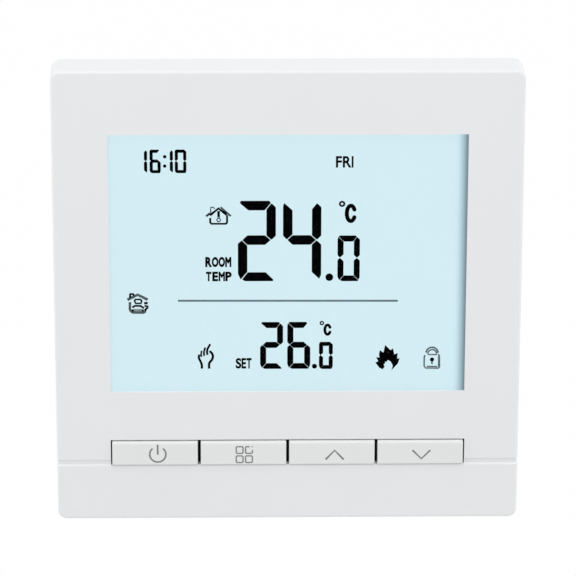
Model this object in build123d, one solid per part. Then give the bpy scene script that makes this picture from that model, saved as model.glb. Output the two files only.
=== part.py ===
"""Flush wall thermostat: a clip-on front panel with a backlit display and a row of four keys,
on a steel plate that carries the relay box inside the wall box.

Millimetres. X runs to the right, Y into the wall and Z up. The origin is the middle of the
two wall-box screws, on the back face of the steel plate, which is the face of the wall.
"""

import math
import os

from build123d import *

# Front panel: outline, walls and the lap joint between its two shells
PANEL_SIZE = 86.0  # width and height at the wall
PANEL_DEPTH = 9.3  # from the wall to the front face
FACE_INSET = 0.15  # the sides lean in by this much from the wall to the face
CORNER_RADIUS = 1.8
FACE_EDGE_RADIUS = 0.5
FRONT_WALL = 1.8
SIDE_WALL = 1.85
INNER_CORNER = 0.8
TRIM_HEIGHT = 10.95  # lower strip, from the bottom of the panel to its upper lip
GROOVE_WIDTH = 0.67  # floor of the shallow groove between the cover and the lower strip
GROOVE_DEPTH = 0.3  # its two flanks slope at 45 degrees
LAP_DEPTH = 0.9  # thickness of the lower strip in front of the cover's tongue
TONGUE_LAP = 2.0  # how far the cover's tongue reaches behind the lower strip
LAP_CLEARANCE = 0.05

# Display window and the stack behind it
BEZEL_TOP = 11.93
BEZEL_SIDE = 10.29
WINDOW_TO_KEYS = 9.32
WINDOW_LIP = 0.6  # wall left in front of the lens
LENS_THICKNESS = 0.85
LENS_AIR_GAP = 0.15  # between the lens and the display film
LENS_OVERLAP = 1.6  # the lens is this much wider than the window on each side
LENS_CLEARANCE = 0.1
GLASS_MARGIN = 2.5  # the glass is this much wider than the window on each side
GLASS_THICKNESS = 0.7
POLARISER_THICKNESS = 0.2
POLARISER_MARGIN = 1.2
LIGHT_GUIDE_THICKNESS = 1.6
REFLECTOR_THICKNESS = 0.2
CONTACT_LEDGE = 2.0  # strip of the front glass that carries the display's contacts
ZEBRA_WIDTH = 1.6
FRAME_WALL = 0.9
FRAME_CLEARANCE = 0.15
LED_COUNT = 3
LED_LENGTH = 3.0
LED_DEPTH = 1.2
LED_HEIGHT = 1.4
LED_CLEARANCE = 0.1

# Keys and the tact switches under them
KEY_NAMES = ("power", "menu", "up", "down")
KEY_MARGIN = 10.15  # from the panel's side to the key opening
KEY_OPENING_DROP = 0.15  # the key opening cuts this far into the lower strip
KEY_HEIGHT = 4.56
KEY_GAP = 0.55  # between neighbouring keys
KEY_SIDE_GAP = 0.27
KEY_TOP_GAP = 0.22
KEY_BOTTOM_GAP = 0.15
KEY_PROUD = 0.45
KEY_TOP_RADIUS = 0.6
KEY_EDGE_RADIUS = 0.2
KEY_SHELL = 1.0
KEY_LIP = 0.7  # the retaining lips reach this far past the opening
KEY_LIP_THICKNESS = 0.6
KEY_LIP_GAP = 0.05
KEY_POST_WIDTH = 3.0
SWITCH_SIZE = 6.0
SWITCH_HEIGHT = 2.0
SWITCH_CORNER = 0.5
PLUNGER_RADIUS = 1.6
PLUNGER_HEIGHT = 0.9
PLUNGER_SEAT = 0.6  # depth of the well that the plunger sinks into
PLUNGER_ENTRY = 0.15  # how far it is in the well before the key is pressed
PLUNGER_CLEARANCE = 0.3
SEAL_THICKNESS = 0.8
SEAL_CLEARANCE = 0.3

# Control board behind the display
BOARD_THICKNESS = 1.2
BOARD_EDGE_GAP = 0.8
BOARD_BELOW_KEYS = 2.0
BOSS_RADIUS = 2.0
BOSS_WALL_GAP = 2.0
PILOT_RADIUS = 0.85
SCREW_SHANK_RADIUS = 0.8
SCREW_HOLE_RADIUS = 1.0
SCREW_HEAD_RADIUS = 1.8
SCREW_HEAD_HEIGHT = 1.2
SCREW_SLOT_WIDTH = 0.5
SCREW_SLOT_DEPTH = 0.5
SCREW_BITE = 2.6  # length of thread in a boss
CHIP_SIZE = 10.0
CHIP_HEIGHT = 1.4
CHIP_LEG_REACH = 1.0
CHIP_LEG_WIDTH = 0.35
CHIP_LEG_COUNT = 12
CHIP_LEG_THICKNESS = 0.25
CRYSTAL_LENGTH = 8.0
CRYSTAL_WIDTH = 3.0
CRYSTAL_HEIGHT = 1.3
CELL_RADIUS = 6.2
CELL_THICKNESS = 2.0
CELL_CLIP_THICKNESS = 0.4
CELL_CLIP_WIDTH = 5.0
SENSOR_RADIUS = 1.2
SENSOR_LENGTH = 3.2
SENSOR_LEAD_RADIUS = 0.25
SENSOR_LEAD_PITCH = 1.2
SENSOR_LEAD_LENGTH = 1.6
RESISTOR_COUNT = 8
RESISTOR_SIZE = (1.6, 0.8, 0.55)  # along X, along Z, height
RESISTOR_PITCH = 2.6

# Plug-in link between the two boards
LINK_COLUMNS = 5
LINK_ROWS = 2
LINK_PITCH = 2.54
LINK_PIN = 0.64
LINK_PIN_CLEARANCE = 0.1
LINK_BASE_HEIGHT = 2.5
LINK_PIN_REACH = 6.0
LINK_SOCKET_GAP = 0.9
LINK_Z = 12.0

# Steel plate and its insulating sheet
PLATE_THICKNESS = 1.0
PLATE_EDGE_GAP = 0.6
PLATE_CORNER = 3.0
PLATE_OPENING_WIDTH = 42.0
PLATE_OPENING_HEIGHT = 46.0
PLATE_OPENING_CORNER = 3.0
SHEET_THICKNESS = 0.25
SHEET_EDGE = 0.3  # the sheet stops this far inside the plate's edges and tabs
WALL_SCREW_SPACING = 60.0
WALL_SLOT_WIDTH = 4.2
WALL_SLOT_LENGTH = 8.0
WALL_SCREW_HEAD_ROOM = 1.6  # extra room in the sheet and the board around a wall screw's head
TAB_WIDTH = 10.0
TAB_REACH = 4.5  # the tabs that grip the panel stand this far off the plate
TAB_SPACING = 40.0
TAB_CLEARANCE = 0.1
TAB_BOARD_GAP = 0.6
RIB_WIDTH = 4.0

# Relay box behind the plate
BOX_WIDTH = 50.0
BOX_HEIGHT = 58.0
BOX_DEPTH = 24.0
BOX_CORNER = 4.0
BOX_EDGE_RADIUS = 1.0
BOX_WALL = 1.6
LEDGE_DEPTH = 13.0  # depth of the box where the terminals stand out
LUG_WIDTH = 9.0
LUG_HEIGHT = 6.0
LUG_THICKNESS = 4.0
LUG_SPACING = 28.0
LUG_CORNER = 2.0
BOX_SCREW_SHANK_RADIUS = 1.2
BOX_SCREW_HEAD_RADIUS = 2.2
BOX_SCREW_LENGTH = 4.6
BOX_SCREW_CLEARANCE = 0.1
VENT_COUNT = 5
VENT_WIDTH = 1.6
VENT_LENGTH = 16.0
VENT_PITCH = 4.4
POWER_BOARD_Y = 9.0  # front face of the power board
POWER_BOARD_THICKNESS = 1.6
POWER_BOARD_GAP = 0.3
POWER_BOSS_RADIUS = 2.2
POWER_BOSS_INSET = 3.0

# Screw terminals
TERMINAL_COUNT = 8
TERMINAL_PITCH = 5.0
TERMINAL_SIDE = 0.4  # wall past the outer poles
TERMINAL_HEIGHT = 10.0
TERMINAL_STAND_OFF = 8.0  # the block stands this far out of the ledge
TERMINAL_CLEARANCE = 0.2
TERMINAL_FLOOR_GAP = 0.4
WIRE_ENTRY_WIDTH = 3.6
WIRE_ENTRY_DEPTH = 4.2
WIRE_ENTRY_LENGTH = 7.0
WIRE_ENTRY_INSET = 1.4  # from the ledge to the wire entries
CLAMP_WALL = 0.5
CLAMP_LENGTH = 5.0
CLAMP_CLEARANCE = 0.05
CLAMP_PIN = 0.8
CLAMP_PIN_STICKOUT = 0.6
CLAMP_HOLE_RADIUS = 0.7
TERMINAL_SCREW_RADIUS = 1.1
TERMINAL_HEAD_RADIUS = 1.8
TERMINAL_HEAD_HEIGHT = 1.3
TERMINAL_WELL_RADIUS = 2.0
TERMINAL_WELL_DEPTH = 2.0

# Parts on the power board
RELAY_SIZE = (23.0, 12.0)  # along X, along Z
RELAY_BACK_GAP = 1.2  # from the relay to the box's back wall
RELAY_EDGE = 0.6
CORE_SIZE = (12.0, 12.0)
CORE_BACK_GAP = 2.8
CORE_BRIDGE = 1.5  # thickness of the core behind the coil
COIL_SIZE = (8.6, 14.6)
COIL_CORNER = 0.75
COIL_CLEARANCE = 0.1
FILM_CAP_SIZE = (12.0, 6.0)
FILM_CAP_BACK_GAP = 1.8
FILM_CAP_EDGE = 0.5
SMOOTHING_RADII = (4.0, 3.2)
SMOOTHING_BACK_GAP = 1.7
SMOOTHING_EDGE = 0.5
FUSE_RADIUS = 3.6
FUSE_HEIGHT = 6.5
FUSE_EDGE = 0.4
VARISTOR_RADIUS = 4.2
VARISTOR_THICKNESS = 3.4
VARISTOR_EDGE = 1.0
PART_GAP = 1.0  # space kept between parts on the power board
OVERCUT = 1.0  # cutters run this far past the face that they open

# Openings in the panel's lower edge
VENT_SLOT_COUNT = 9
VENT_SLOT_LENGTH = 4.0
VENT_SLOT_WIDTH = 1.2
VENT_SLOT_PITCH = 3.0
RELEASE_NOTCH_WIDTH = 8.0
RELEASE_NOTCH_DEPTH = 1.3

# Planes and places that several pieces share
HALF = PANEL_SIZE / 2
INNER = HALF - FACE_INSET - SIDE_WALL
FACE_Y = -PANEL_DEPTH
WALL_IN_Y = FACE_Y + FRONT_WALL
TRIM_TOP = -HALF + TRIM_HEIGHT
COVER_BOTTOM = TRIM_TOP + GROOVE_WIDTH
TONGUE_BOTTOM = TRIM_TOP - TONGUE_LAP
DRAFT = math.degrees(math.atan2(FACE_INSET, PANEL_DEPTH))

OPENING_BOTTOM = TRIM_TOP - KEY_OPENING_DROP
KEY_BOTTOM = OPENING_BOTTOM + KEY_BOTTOM_GAP
KEY_TOP = KEY_BOTTOM + KEY_HEIGHT
KEY_MIDDLE = (KEY_BOTTOM + KEY_TOP) / 2
OPENING_TOP = KEY_TOP + KEY_TOP_GAP
OPENING_WIDTH = PANEL_SIZE - 2 * KEY_MARGIN
KEY_COUNT = len(KEY_NAMES)
KEY_WIDTH = (OPENING_WIDTH - 2 * KEY_SIDE_GAP - (KEY_COUNT - 1) * KEY_GAP) / KEY_COUNT
KEY_PITCH = KEY_WIDTH + KEY_GAP
KEY_XS = [(i - (KEY_COUNT - 1) / 2) * KEY_PITCH for i in range(KEY_COUNT)]

WINDOW_TOP = HALF - BEZEL_TOP
WINDOW_BOTTOM = OPENING_TOP + WINDOW_TO_KEYS
WINDOW_HEIGHT = WINDOW_TOP - WINDOW_BOTTOM
WINDOW_WIDTH = PANEL_SIZE - 2 * BEZEL_SIDE
WINDOW_Z = (WINDOW_TOP + WINDOW_BOTTOM) / 2
GLASS_WIDTH = WINDOW_WIDTH + 2 * GLASS_MARGIN
GLASS_HEIGHT = WINDOW_HEIGHT + 2 * GLASS_MARGIN
GLASS_TOP = WINDOW_Z + GLASS_HEIGHT / 2
GLASS_BOTTOM = WINDOW_Z - GLASS_HEIGHT / 2
REAR_GLASS_BOTTOM = GLASS_BOTTOM + CONTACT_LEDGE
FRAME_OVERHANG = FRAME_CLEARANCE + FRAME_WALL
FRAME_TOP = GLASS_TOP + FRAME_OVERHANG
FRAME_BOTTOM = GLASS_BOTTOM - FRAME_OVERHANG

LENS_Y = FACE_Y + WINDOW_LIP
FRONT_POLARISER_Y = LENS_Y + LENS_THICKNESS + LENS_AIR_GAP
FRONT_GLASS_Y = FRONT_POLARISER_Y + POLARISER_THICKNESS
REAR_GLASS_Y = FRONT_GLASS_Y + GLASS_THICKNESS
REAR_POLARISER_Y = REAR_GLASS_Y + GLASS_THICKNESS
LIGHT_GUIDE_Y = REAR_POLARISER_Y + POLARISER_THICKNESS
REFLECTOR_Y = LIGHT_GUIDE_Y + LIGHT_GUIDE_THICKNESS
BOARD_Y = REFLECTOR_Y + REFLECTOR_THICKNESS
BOARD_BACK_Y = BOARD_Y + BOARD_THICKNESS
SWITCH_TOP_Y = BOARD_Y - SWITCH_HEIGHT
KEY_BACK_Y = SWITCH_TOP_Y - PLUNGER_HEIGHT

BOARD_HALF = INNER - BOARD_EDGE_GAP
BOARD_BOTTOM = OPENING_BOTTOM - BOARD_BELOW_KEYS
CHIP_X = -(PLATE_OPENING_WIDTH + CHIP_SIZE) / 2 - CHIP_LEG_REACH
BOSS_X = INNER - BOSS_RADIUS - BOSS_WALL_GAP
BOSS_ZS = ((FRAME_TOP + INNER) / 2, (FRAME_BOTTOM + OPENING_TOP + KEY_LIP) / 2)
BOSSES = [(side * BOSS_X, z) for side in (-1, 1) for z in BOSS_ZS]

PLATE_HALF = INNER - PLATE_EDGE_GAP
PLATE_FRONT_Y = -PLATE_THICKNESS
TAB_XS = (-TAB_SPACING / 2, TAB_SPACING / 2)
BOX_SCREWS = [
    (x * LUG_SPACING / 2, z * (BOX_HEIGHT + LUG_HEIGHT) / 2) for x in (-1, 1) for z in (-1, 1)
]
WALL_SCREWS = [(-WALL_SCREW_SPACING / 2, 0), (WALL_SCREW_SPACING / 2, 0)]

BOX_BACK_IN = BOX_DEPTH - BOX_WALL
POWER_BACK_Y = POWER_BOARD_Y + POWER_BOARD_THICKNESS
POWER_HALF_WIDTH = BOX_WIDTH / 2 - BOX_WALL - POWER_BOARD_GAP
POWER_HALF_HEIGHT = BOX_HEIGHT / 2 - BOX_WALL - POWER_BOARD_GAP
POWER_BOSS_Z = POWER_HALF_HEIGHT - POWER_BOSS_INSET
POWER_BOSS_X = POWER_HALF_WIDTH - POWER_BOSS_INSET
TERMINAL_WIDTH = TERMINAL_COUNT * TERMINAL_PITCH + 2 * TERMINAL_SIDE
TERMINAL_BOTTOM = -BOX_HEIGHT / 2 + BOX_WALL + TERMINAL_FLOOR_GAP
TERMINAL_TOP = TERMINAL_BOTTOM + TERMINAL_HEIGHT
TERMINAL_BACK_Y = LEDGE_DEPTH + TERMINAL_STAND_OFF
TERMINAL_XS = [(i - (TERMINAL_COUNT - 1) / 2) * TERMINAL_PITCH for i in range(TERMINAL_COUNT)]
LEDGE_TOP = TERMINAL_TOP + TERMINAL_CLEARANCE + BOX_WALL
WIRE_ENTRY_Y = LEDGE_DEPTH + WIRE_ENTRY_INSET
CLAMP_Z = TERMINAL_BOTTOM + WIRE_ENTRY_LENGTH - CLAMP_LENGTH / 2
LINK_WIDTH = LINK_COLUMNS * LINK_PITCH
LINK_HEIGHT = LINK_ROWS * LINK_PITCH
LINK_POINTS = [
    ((i - (LINK_COLUMNS - 1) / 2) * LINK_PITCH, LINK_Z + (j - (LINK_ROWS - 1) / 2) * LINK_PITCH)
    for i in range(LINK_COLUMNS)
    for j in range(LINK_ROWS)
]


# Helpers


def about(middle, length):
    """The (low, high) range of that length about a middle."""
    return (middle - length / 2, middle + length / 2)


def slab(x, y, z):
    """A box between three (low, high) ranges."""
    ranges = (x, y, z)
    middle = [(low + high) / 2 for low, high in ranges]
    return Pos(*middle) * Box(*[high - low for low, high in ranges])


def sheet(width, height, y, corner=0.0, at=(0.0, 0.0)):
    """A flat piece parallel to the wall, between two depths, with rounded corners."""
    outline = RectangleRounded(width, height, corner) if corner else Rectangle(width, height)
    return extrude(Plane.XZ.offset(-y[1]) * Pos(*at) * outline, y[1] - y[0])


def rod(radius, y, at=(0.0, 0.0)):
    """A cylinder along Y, between two depths."""
    return extrude(Plane.XZ.offset(-y[1]) * Pos(*at) * Circle(radius), y[1] - y[0])


def group(pieces):
    """Separate solids that share one node."""
    return Compound(children=[solid for piece in pieces for solid in piece.solids()])


def slotted_screw(head_radius, head_height, shank_radius, head_y, tip_y, at):
    """A pan-head screw along Y whose head is on the deeper side when tip_y is smaller."""
    outward = 1 if head_y > tip_y else -1
    top_y = head_y + outward * head_height
    head = rod(head_radius, sorted((head_y, top_y)), at)
    shank = rod(shank_radius, sorted((head_y, tip_y)), at)
    slot_y = sorted((top_y - outward * SCREW_SLOT_DEPTH, top_y + outward * OVERCUT))
    slot = slab(about(at[0], SCREW_SLOT_WIDTH), slot_y, about(at[1], 2 * head_radius + OVERCUT))
    return head + shank - slot


# Front panel shells


def panel_block(inset):
    """The drafted outside of the panel, or the same shape set in all round."""
    size = PANEL_SIZE - 2 * inset
    outline = Plane.XZ * RectangleRounded(size, size, CORNER_RADIUS - inset)
    return extrude(outline, PANEL_DEPTH - inset, taper=DRAFT)


def panel_cavity():
    return sheet(2 * INNER, 2 * INNER, (WALL_IN_Y, OVERCUT), INNER_CORNER)


def panel_shell():
    block = panel_block(0.0)
    face_edges = block.faces().sort_by(Axis.Y)[0].edges()
    return fillet(face_edges, FACE_EDGE_RADIUS) - panel_cavity()


def band(low, high):
    """Everything in the panel between two heights."""
    across = about(0, PANEL_SIZE + 2 * OVERCUT)
    return slab(across, (FACE_Y - OVERCUT, OVERCUT), (low, high))


def guide_ribs(side):
    """Low ribs inside the panel's upper or lower wall, which slide on the plate's tabs."""
    rib_z = sorted((side * (PLATE_HALF + TAB_CLEARANCE), side * (INNER + SIDE_WALL / 2)))
    return [slab(about(x, RIB_WIDTH), (WALL_IN_Y, PLATE_FRONT_Y), rib_z) for x in TAB_XS]


def slope_lip(piece, z):
    """The same piece with its outer edge at that height cut back at 45 degrees."""
    inset = HALF - FACE_INSET - GROOVE_DEPTH / 2
    rim = piece.edges().filter_by(lambda edge: abs(edge.bounding_box().min.Z - z) < LAP_CLEARANCE)
    rim = rim.filter_by(lambda edge: edge.bounding_box().max.Z < z + LAP_CLEARANCE)
    front = rim.filter_by(lambda edge: edge.center().Y < FACE_Y + FACE_EDGE_RADIUS)
    sides = rim.filter_by(lambda edge: abs(edge.center().X) > inset)
    return chamfer(front + sides.filter_by(lambda edge: edge not in front), GROOVE_DEPTH)


def front_cover():
    cover = slope_lip(panel_shell() & band(COVER_BOTTOM, HALF + OVERCUT), COVER_BOTTOM)
    cover += (panel_block(GROOVE_DEPTH) - panel_cavity()) & band(TRIM_TOP, COVER_BOTTOM)
    cover += (panel_block(LAP_DEPTH) - panel_cavity()) & band(TONGUE_BOTTOM, TRIM_TOP)
    for at in BOSSES:
        cover += rod(BOSS_RADIUS, (WALL_IN_Y, BOARD_Y), at)
    for rib in guide_ribs(1):
        cover += rib
    through = (FACE_Y - OVERCUT, WALL_IN_Y + OVERCUT)
    cover -= sheet(WINDOW_WIDTH, WINDOW_HEIGHT, through, at=(0, WINDOW_Z))
    lens_room = 2 * (LENS_OVERLAP + LENS_CLEARANCE)
    lens_y = (LENS_Y, WALL_IN_Y + OVERCUT)
    cover -= sheet(WINDOW_WIDTH + lens_room, WINDOW_HEIGHT + lens_room, lens_y, at=(0, WINDOW_Z))
    cover -= slab(about(0, OPENING_WIDTH), through, (OPENING_BOTTOM, OPENING_TOP))
    for at in BOSSES:
        cover -= rod(PILOT_RADIUS, (BOARD_Y - SCREW_BITE - LAP_CLEARANCE, BOARD_Y + OVERCUT), at)
    return cover


def lower_trim():
    lap_room = panel_block(LAP_DEPTH - LAP_CLEARANCE)
    lap_room &= band(TONGUE_BOTTOM - LAP_CLEARANCE, TRIM_TOP + OVERCUT)
    trim = slope_lip(panel_shell() & band(-HALF - OVERCUT, TRIM_TOP), TRIM_TOP) - lap_room
    key_room = (FACE_Y - OVERCUT, WALL_IN_Y + OVERCUT)
    trim -= slab(about(0, OPENING_WIDTH), key_room, (OPENING_BOTTOM, TRIM_TOP + OVERCUT))
    for rib in guide_ribs(-1):
        trim += rib
    floor_z = (-HALF - OVERCUT, -INNER + OVERCUT)
    slot_y = about((WALL_IN_Y + PLATE_FRONT_Y) / 2, VENT_SLOT_LENGTH)
    for i in range(VENT_SLOT_COUNT):
        x = (i - (VENT_SLOT_COUNT - 1) / 2) * VENT_SLOT_PITCH
        trim -= slab(about(x, VENT_SLOT_WIDTH), slot_y, floor_z)
    trim -= slab(about(0, RELEASE_NOTCH_WIDTH), (-RELEASE_NOTCH_DEPTH, OVERCUT), floor_z)
    return trim


# Display stack


def display_lens():
    width = WINDOW_WIDTH + 2 * LENS_OVERLAP
    height = WINDOW_HEIGHT + 2 * LENS_OVERLAP
    return sheet(width, height, (LENS_Y, LENS_Y + LENS_THICKNESS), at=(0, WINDOW_Z))


def polariser(y, low):
    """A film on one side of the glass, from a lower edge to just above the window."""
    width = about(0, WINDOW_WIDTH + 2 * POLARISER_MARGIN)
    return slab(width, (y, y + POLARISER_THICKNESS), (low, WINDOW_TOP + POLARISER_MARGIN))


def lcd_front_glass():
    return sheet(GLASS_WIDTH, GLASS_HEIGHT, (FRONT_GLASS_Y, REAR_GLASS_Y), at=(0, WINDOW_Z))


def lcd_rear_glass():
    depth = (REAR_GLASS_Y, REAR_POLARISER_Y)
    return slab(about(0, GLASS_WIDTH), depth, (REAR_GLASS_BOTTOM, GLASS_TOP))


def light_guide():
    left = -GLASS_WIDTH / 2 + LED_DEPTH + LED_CLEARANCE
    depth = (LIGHT_GUIDE_Y, REFLECTOR_Y)
    return slab((left, GLASS_WIDTH / 2), depth, (REAR_GLASS_BOTTOM, GLASS_TOP))


def reflector_sheet():
    left = -GLASS_WIDTH / 2 + LED_DEPTH + LED_CLEARANCE
    return slab((left, GLASS_WIDTH / 2), (REFLECTOR_Y, BOARD_Y), (REAR_GLASS_BOTTOM, GLASS_TOP))


def lcd_frame():
    depth = (WALL_IN_Y, BOARD_Y)
    width = GLASS_WIDTH + 2 * FRAME_OVERHANG
    ring = sheet(width, FRAME_TOP - FRAME_BOTTOM, depth, at=(0, WINDOW_Z))
    room = (WALL_IN_Y - OVERCUT, BOARD_Y + OVERCUT)
    inside = (GLASS_WIDTH + 2 * FRAME_CLEARANCE, GLASS_HEIGHT + 2 * FRAME_CLEARANCE)
    return ring - sheet(*inside, room, at=(0, WINDOW_Z))


def zebra_strip():
    z = about((GLASS_BOTTOM + REAR_GLASS_BOTTOM) / 2, ZEBRA_WIDTH)
    return slab(about(0, WINDOW_WIDTH), (REAR_GLASS_Y, BOARD_Y), z)


def backlight_leds():
    left = -GLASS_WIDTH / 2
    step = WINDOW_HEIGHT / LED_COUNT
    lamps = []
    for i in range(LED_COUNT):
        z = WINDOW_Z + (i - (LED_COUNT - 1) / 2) * step
        y = (BOARD_Y - LED_HEIGHT, BOARD_Y)
        lamps.append(slab((left, left + LED_DEPTH), y, about(z, LED_LENGTH)))
    return group(lamps)


# Keys


def key_cap(x):
    """A hollow cap with lips behind the opening's upper and lower edges and a post on the switch."""
    front_y = FACE_Y - KEY_PROUD
    cap = sheet(KEY_WIDTH, KEY_HEIGHT, (front_y, KEY_BACK_Y), at=(x, KEY_MIDDLE))
    cap = fillet(cap.faces().sort_by(Axis.Y)[0].edges().sort_by(Axis.Z)[-1], KEY_TOP_RADIUS)
    cap = fillet(cap.faces().sort_by(Axis.Y)[0].edges().sort_by(Axis.Z)[:-1], KEY_EDGE_RADIUS)
    lip_y = (WALL_IN_Y + KEY_LIP_GAP, WALL_IN_Y + KEY_LIP_GAP + KEY_LIP_THICKNESS)
    cap += slab(about(x, KEY_WIDTH), lip_y, (OPENING_BOTTOM - KEY_LIP, OPENING_TOP + KEY_LIP))
    hollow_y = (front_y + KEY_SHELL, lip_y[1] + OVERCUT)
    room = KEY_HEIGHT - 2 * KEY_SHELL
    hollow = sheet(KEY_WIDTH - 2 * KEY_SHELL, room, hollow_y, at=(x, KEY_MIDDLE))
    post_y = (front_y + KEY_SHELL, KEY_BACK_Y)
    post = slab(about(x, KEY_POST_WIDTH), post_y, about(KEY_MIDDLE, room))
    dent_y = (KEY_BACK_Y, lip_y[1] + OVERCUT)
    dent = rod(PLUNGER_RADIUS + PLUNGER_CLEARANCE, dent_y, (x, KEY_MIDDLE))
    return cap - hollow + post - dent


def plunger(x):
    return rod(PLUNGER_RADIUS, (KEY_BACK_Y, SWITCH_TOP_Y + PLUNGER_ENTRY), (x, KEY_MIDDLE))


def switch_bodies():
    bodies = []
    for x in KEY_XS:
        at = (x, KEY_MIDDLE)
        body = sheet(SWITCH_SIZE, SWITCH_SIZE, (SWITCH_TOP_Y, BOARD_Y), SWITCH_CORNER, at)
        well = (SWITCH_TOP_Y - OVERCUT, SWITCH_TOP_Y + PLUNGER_SEAT)
        bodies.append(body - rod(PLUNGER_RADIUS + PLUNGER_CLEARANCE, well, at))
    return group(bodies)


def key_seal():
    """Dark foam strip on the board that closes the view between the keys."""
    y = (BOARD_Y - SEAL_THICKNESS, BOARD_Y)
    height = KEY_HEIGHT + 2 * KEY_LIP
    strip = sheet(OPENING_WIDTH, height, y, at=(0, KEY_MIDDLE))
    hole = SWITCH_SIZE + 2 * SEAL_CLEARANCE
    pieces = strip
    for x in KEY_XS:
        pieces -= sheet(hole, hole, (y[0] - OVERCUT, y[1] + OVERCUT), at=(x, KEY_MIDDLE))
    return group([pieces])


# Control board


def control_board():
    depth = (BOARD_Y, BOARD_BACK_Y)
    board = slab(about(0, 2 * BOARD_HALF), depth, (BOARD_BOTTOM, BOARD_HALF))
    cut = (BOARD_Y - OVERCUT, BOARD_BACK_Y + OVERCUT)
    notch_bottom = PLATE_HALF - PLATE_THICKNESS - TAB_BOARD_GAP
    for x in TAB_XS:
        width = TAB_WIDTH + 2 * TAB_BOARD_GAP
        board -= slab(about(x, width), cut, (notch_bottom, BOARD_HALF + OVERCUT))
    for slot in wall_slot(cut, WALL_SCREW_HEAD_ROOM):
        board -= slot
    for at in BOSSES:
        board -= rod(SCREW_HOLE_RADIUS, cut, at)
    return board


def control_board_screws():
    sizes = (SCREW_HEAD_RADIUS, SCREW_HEAD_HEIGHT, SCREW_SHANK_RADIUS)
    return group(slotted_screw(*sizes, BOARD_BACK_Y, BOARD_Y - SCREW_BITE, at) for at in BOSSES)


def microcontroller():
    """A flat square chip with gull legs along all four sides, left of the plate's opening."""
    x, z = CHIP_X, LINK_Z
    body = sheet(CHIP_SIZE, CHIP_SIZE, (BOARD_BACK_Y, BOARD_BACK_Y + CHIP_HEIGHT), at=(x, z))
    leg_y = (BOARD_BACK_Y, BOARD_BACK_Y + CHIP_LEG_THICKNESS)
    span = about(0, CHIP_SIZE + 2 * CHIP_LEG_REACH)
    for i in range(CHIP_LEG_COUNT):
        offset = (i - (CHIP_LEG_COUNT - 1) / 2) * CHIP_SIZE / (CHIP_LEG_COUNT + 1)
        across = (x + span[0], x + span[1])
        along = (z + span[0], z + span[1])
        body += slab(across, leg_y, about(z + offset, CHIP_LEG_WIDTH))
        body += slab(about(x + offset, CHIP_LEG_WIDTH), leg_y, along)
    return body


def quartz_crystal():
    y = (BOARD_BACK_Y, BOARD_BACK_Y + CRYSTAL_HEIGHT)
    at = (CHIP_X, LINK_Z + CHIP_SIZE / 2 + CHIP_LEG_REACH + PART_GAP + CRYSTAL_WIDTH / 2)
    return sheet(CRYSTAL_LENGTH, CRYSTAL_WIDTH, y, CRYSTAL_WIDTH / 2.2, at)


def cell_place():
    """Middle of the clock cell, inside the plate's opening and below the link."""
    return (0.0, LINK_Z - LINK_HEIGHT / 2 - CELL_RADIUS - CELL_CLIP_WIDTH)


def clock_cell():
    return rod(CELL_RADIUS, (BOARD_BACK_Y, BOARD_BACK_Y + CELL_THICKNESS), cell_place())


def cell_clip():
    """A spring strap over the cell, with a foot on the board at each side."""
    x, z = cell_place()
    back = BOARD_BACK_Y + CELL_THICKNESS
    reach = CELL_RADIUS + CELL_CLIP_THICKNESS + LAP_CLEARANCE
    width = about(z, CELL_CLIP_WIDTH)
    strap = slab(about(x, 2 * reach), (back, back + CELL_CLIP_THICKNESS), width)
    for side in (-1, 1):
        leg_x = sorted((x + side * (reach - CELL_CLIP_THICKNESS), x + side * reach))
        foot_x = sorted((x + side * reach, x + side * (reach + CELL_CLIP_WIDTH / 2)))
        strap += slab(leg_x, (BOARD_BACK_Y, back), width)
        strap += slab(foot_x, (BOARD_BACK_Y, BOARD_BACK_Y + CELL_CLIP_THICKNESS), width)
    return strap


def room_sensor():
    """Thermistor bead on two leads at the lower edge of the board, over the panel's air slots."""
    x, y = 0.0, (BOARD_Y + BOARD_BACK_Y) / 2
    bead_top = BOARD_BOTTOM - SENSOR_LEAD_LENGTH
    bead = Pos(x, y, bead_top - SENSOR_LENGTH / 2) * Cylinder(SENSOR_RADIUS, SENSOR_LENGTH)
    bead = fillet(bead.edges().filter_by(GeomType.CIRCLE), SENSOR_RADIUS * 0.8)
    lead_length = SENSOR_LEAD_LENGTH + SENSOR_RADIUS
    for side in (-1, 1):
        lead_x = x + side * SENSOR_LEAD_PITCH / 2
        lead = Cylinder(SENSOR_LEAD_RADIUS, lead_length)
        bead += Pos(lead_x, y, BOARD_BOTTOM - lead_length / 2) * lead
    return bead


def chip_resistors():
    length, width, height = RESISTOR_SIZE
    x = -CHIP_X
    y = (BOARD_BACK_Y, BOARD_BACK_Y + height)
    zs = [LINK_Z + i * RESISTOR_PITCH for i in range(RESISTOR_COUNT)]
    return group(slab(about(x, length), y, about(z, width)) for z in zs)


# Link between the boards


def link_header():
    base_y = (BOARD_BACK_Y, BOARD_BACK_Y + LINK_BASE_HEIGHT)
    base = sheet(LINK_WIDTH, LINK_HEIGHT, base_y, at=(0, LINK_Z))
    through = (BOARD_BACK_Y - OVERCUT, base_y[1] + OVERCUT)
    for at in LINK_POINTS:
        base -= sheet(LINK_PIN, LINK_PIN, through, at=at)
    return base


def link_pins():
    y = (BOARD_BACK_Y, BOARD_BACK_Y + LINK_BASE_HEIGHT + LINK_PIN_REACH)
    return group(sheet(LINK_PIN, LINK_PIN, y, at=at) for at in LINK_POINTS)


def link_socket():
    front = BOARD_BACK_Y + LINK_BASE_HEIGHT + LINK_SOCKET_GAP
    socket = sheet(LINK_WIDTH, LINK_HEIGHT, (front, POWER_BOARD_Y), at=(0, LINK_Z))
    hole = LINK_PIN + 2 * LINK_PIN_CLEARANCE
    depth = (front - OVERCUT, front + LINK_PIN_REACH)
    for at in LINK_POINTS:
        socket -= sheet(hole, hole, depth, at=at)
    return socket


# Steel plate


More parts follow.
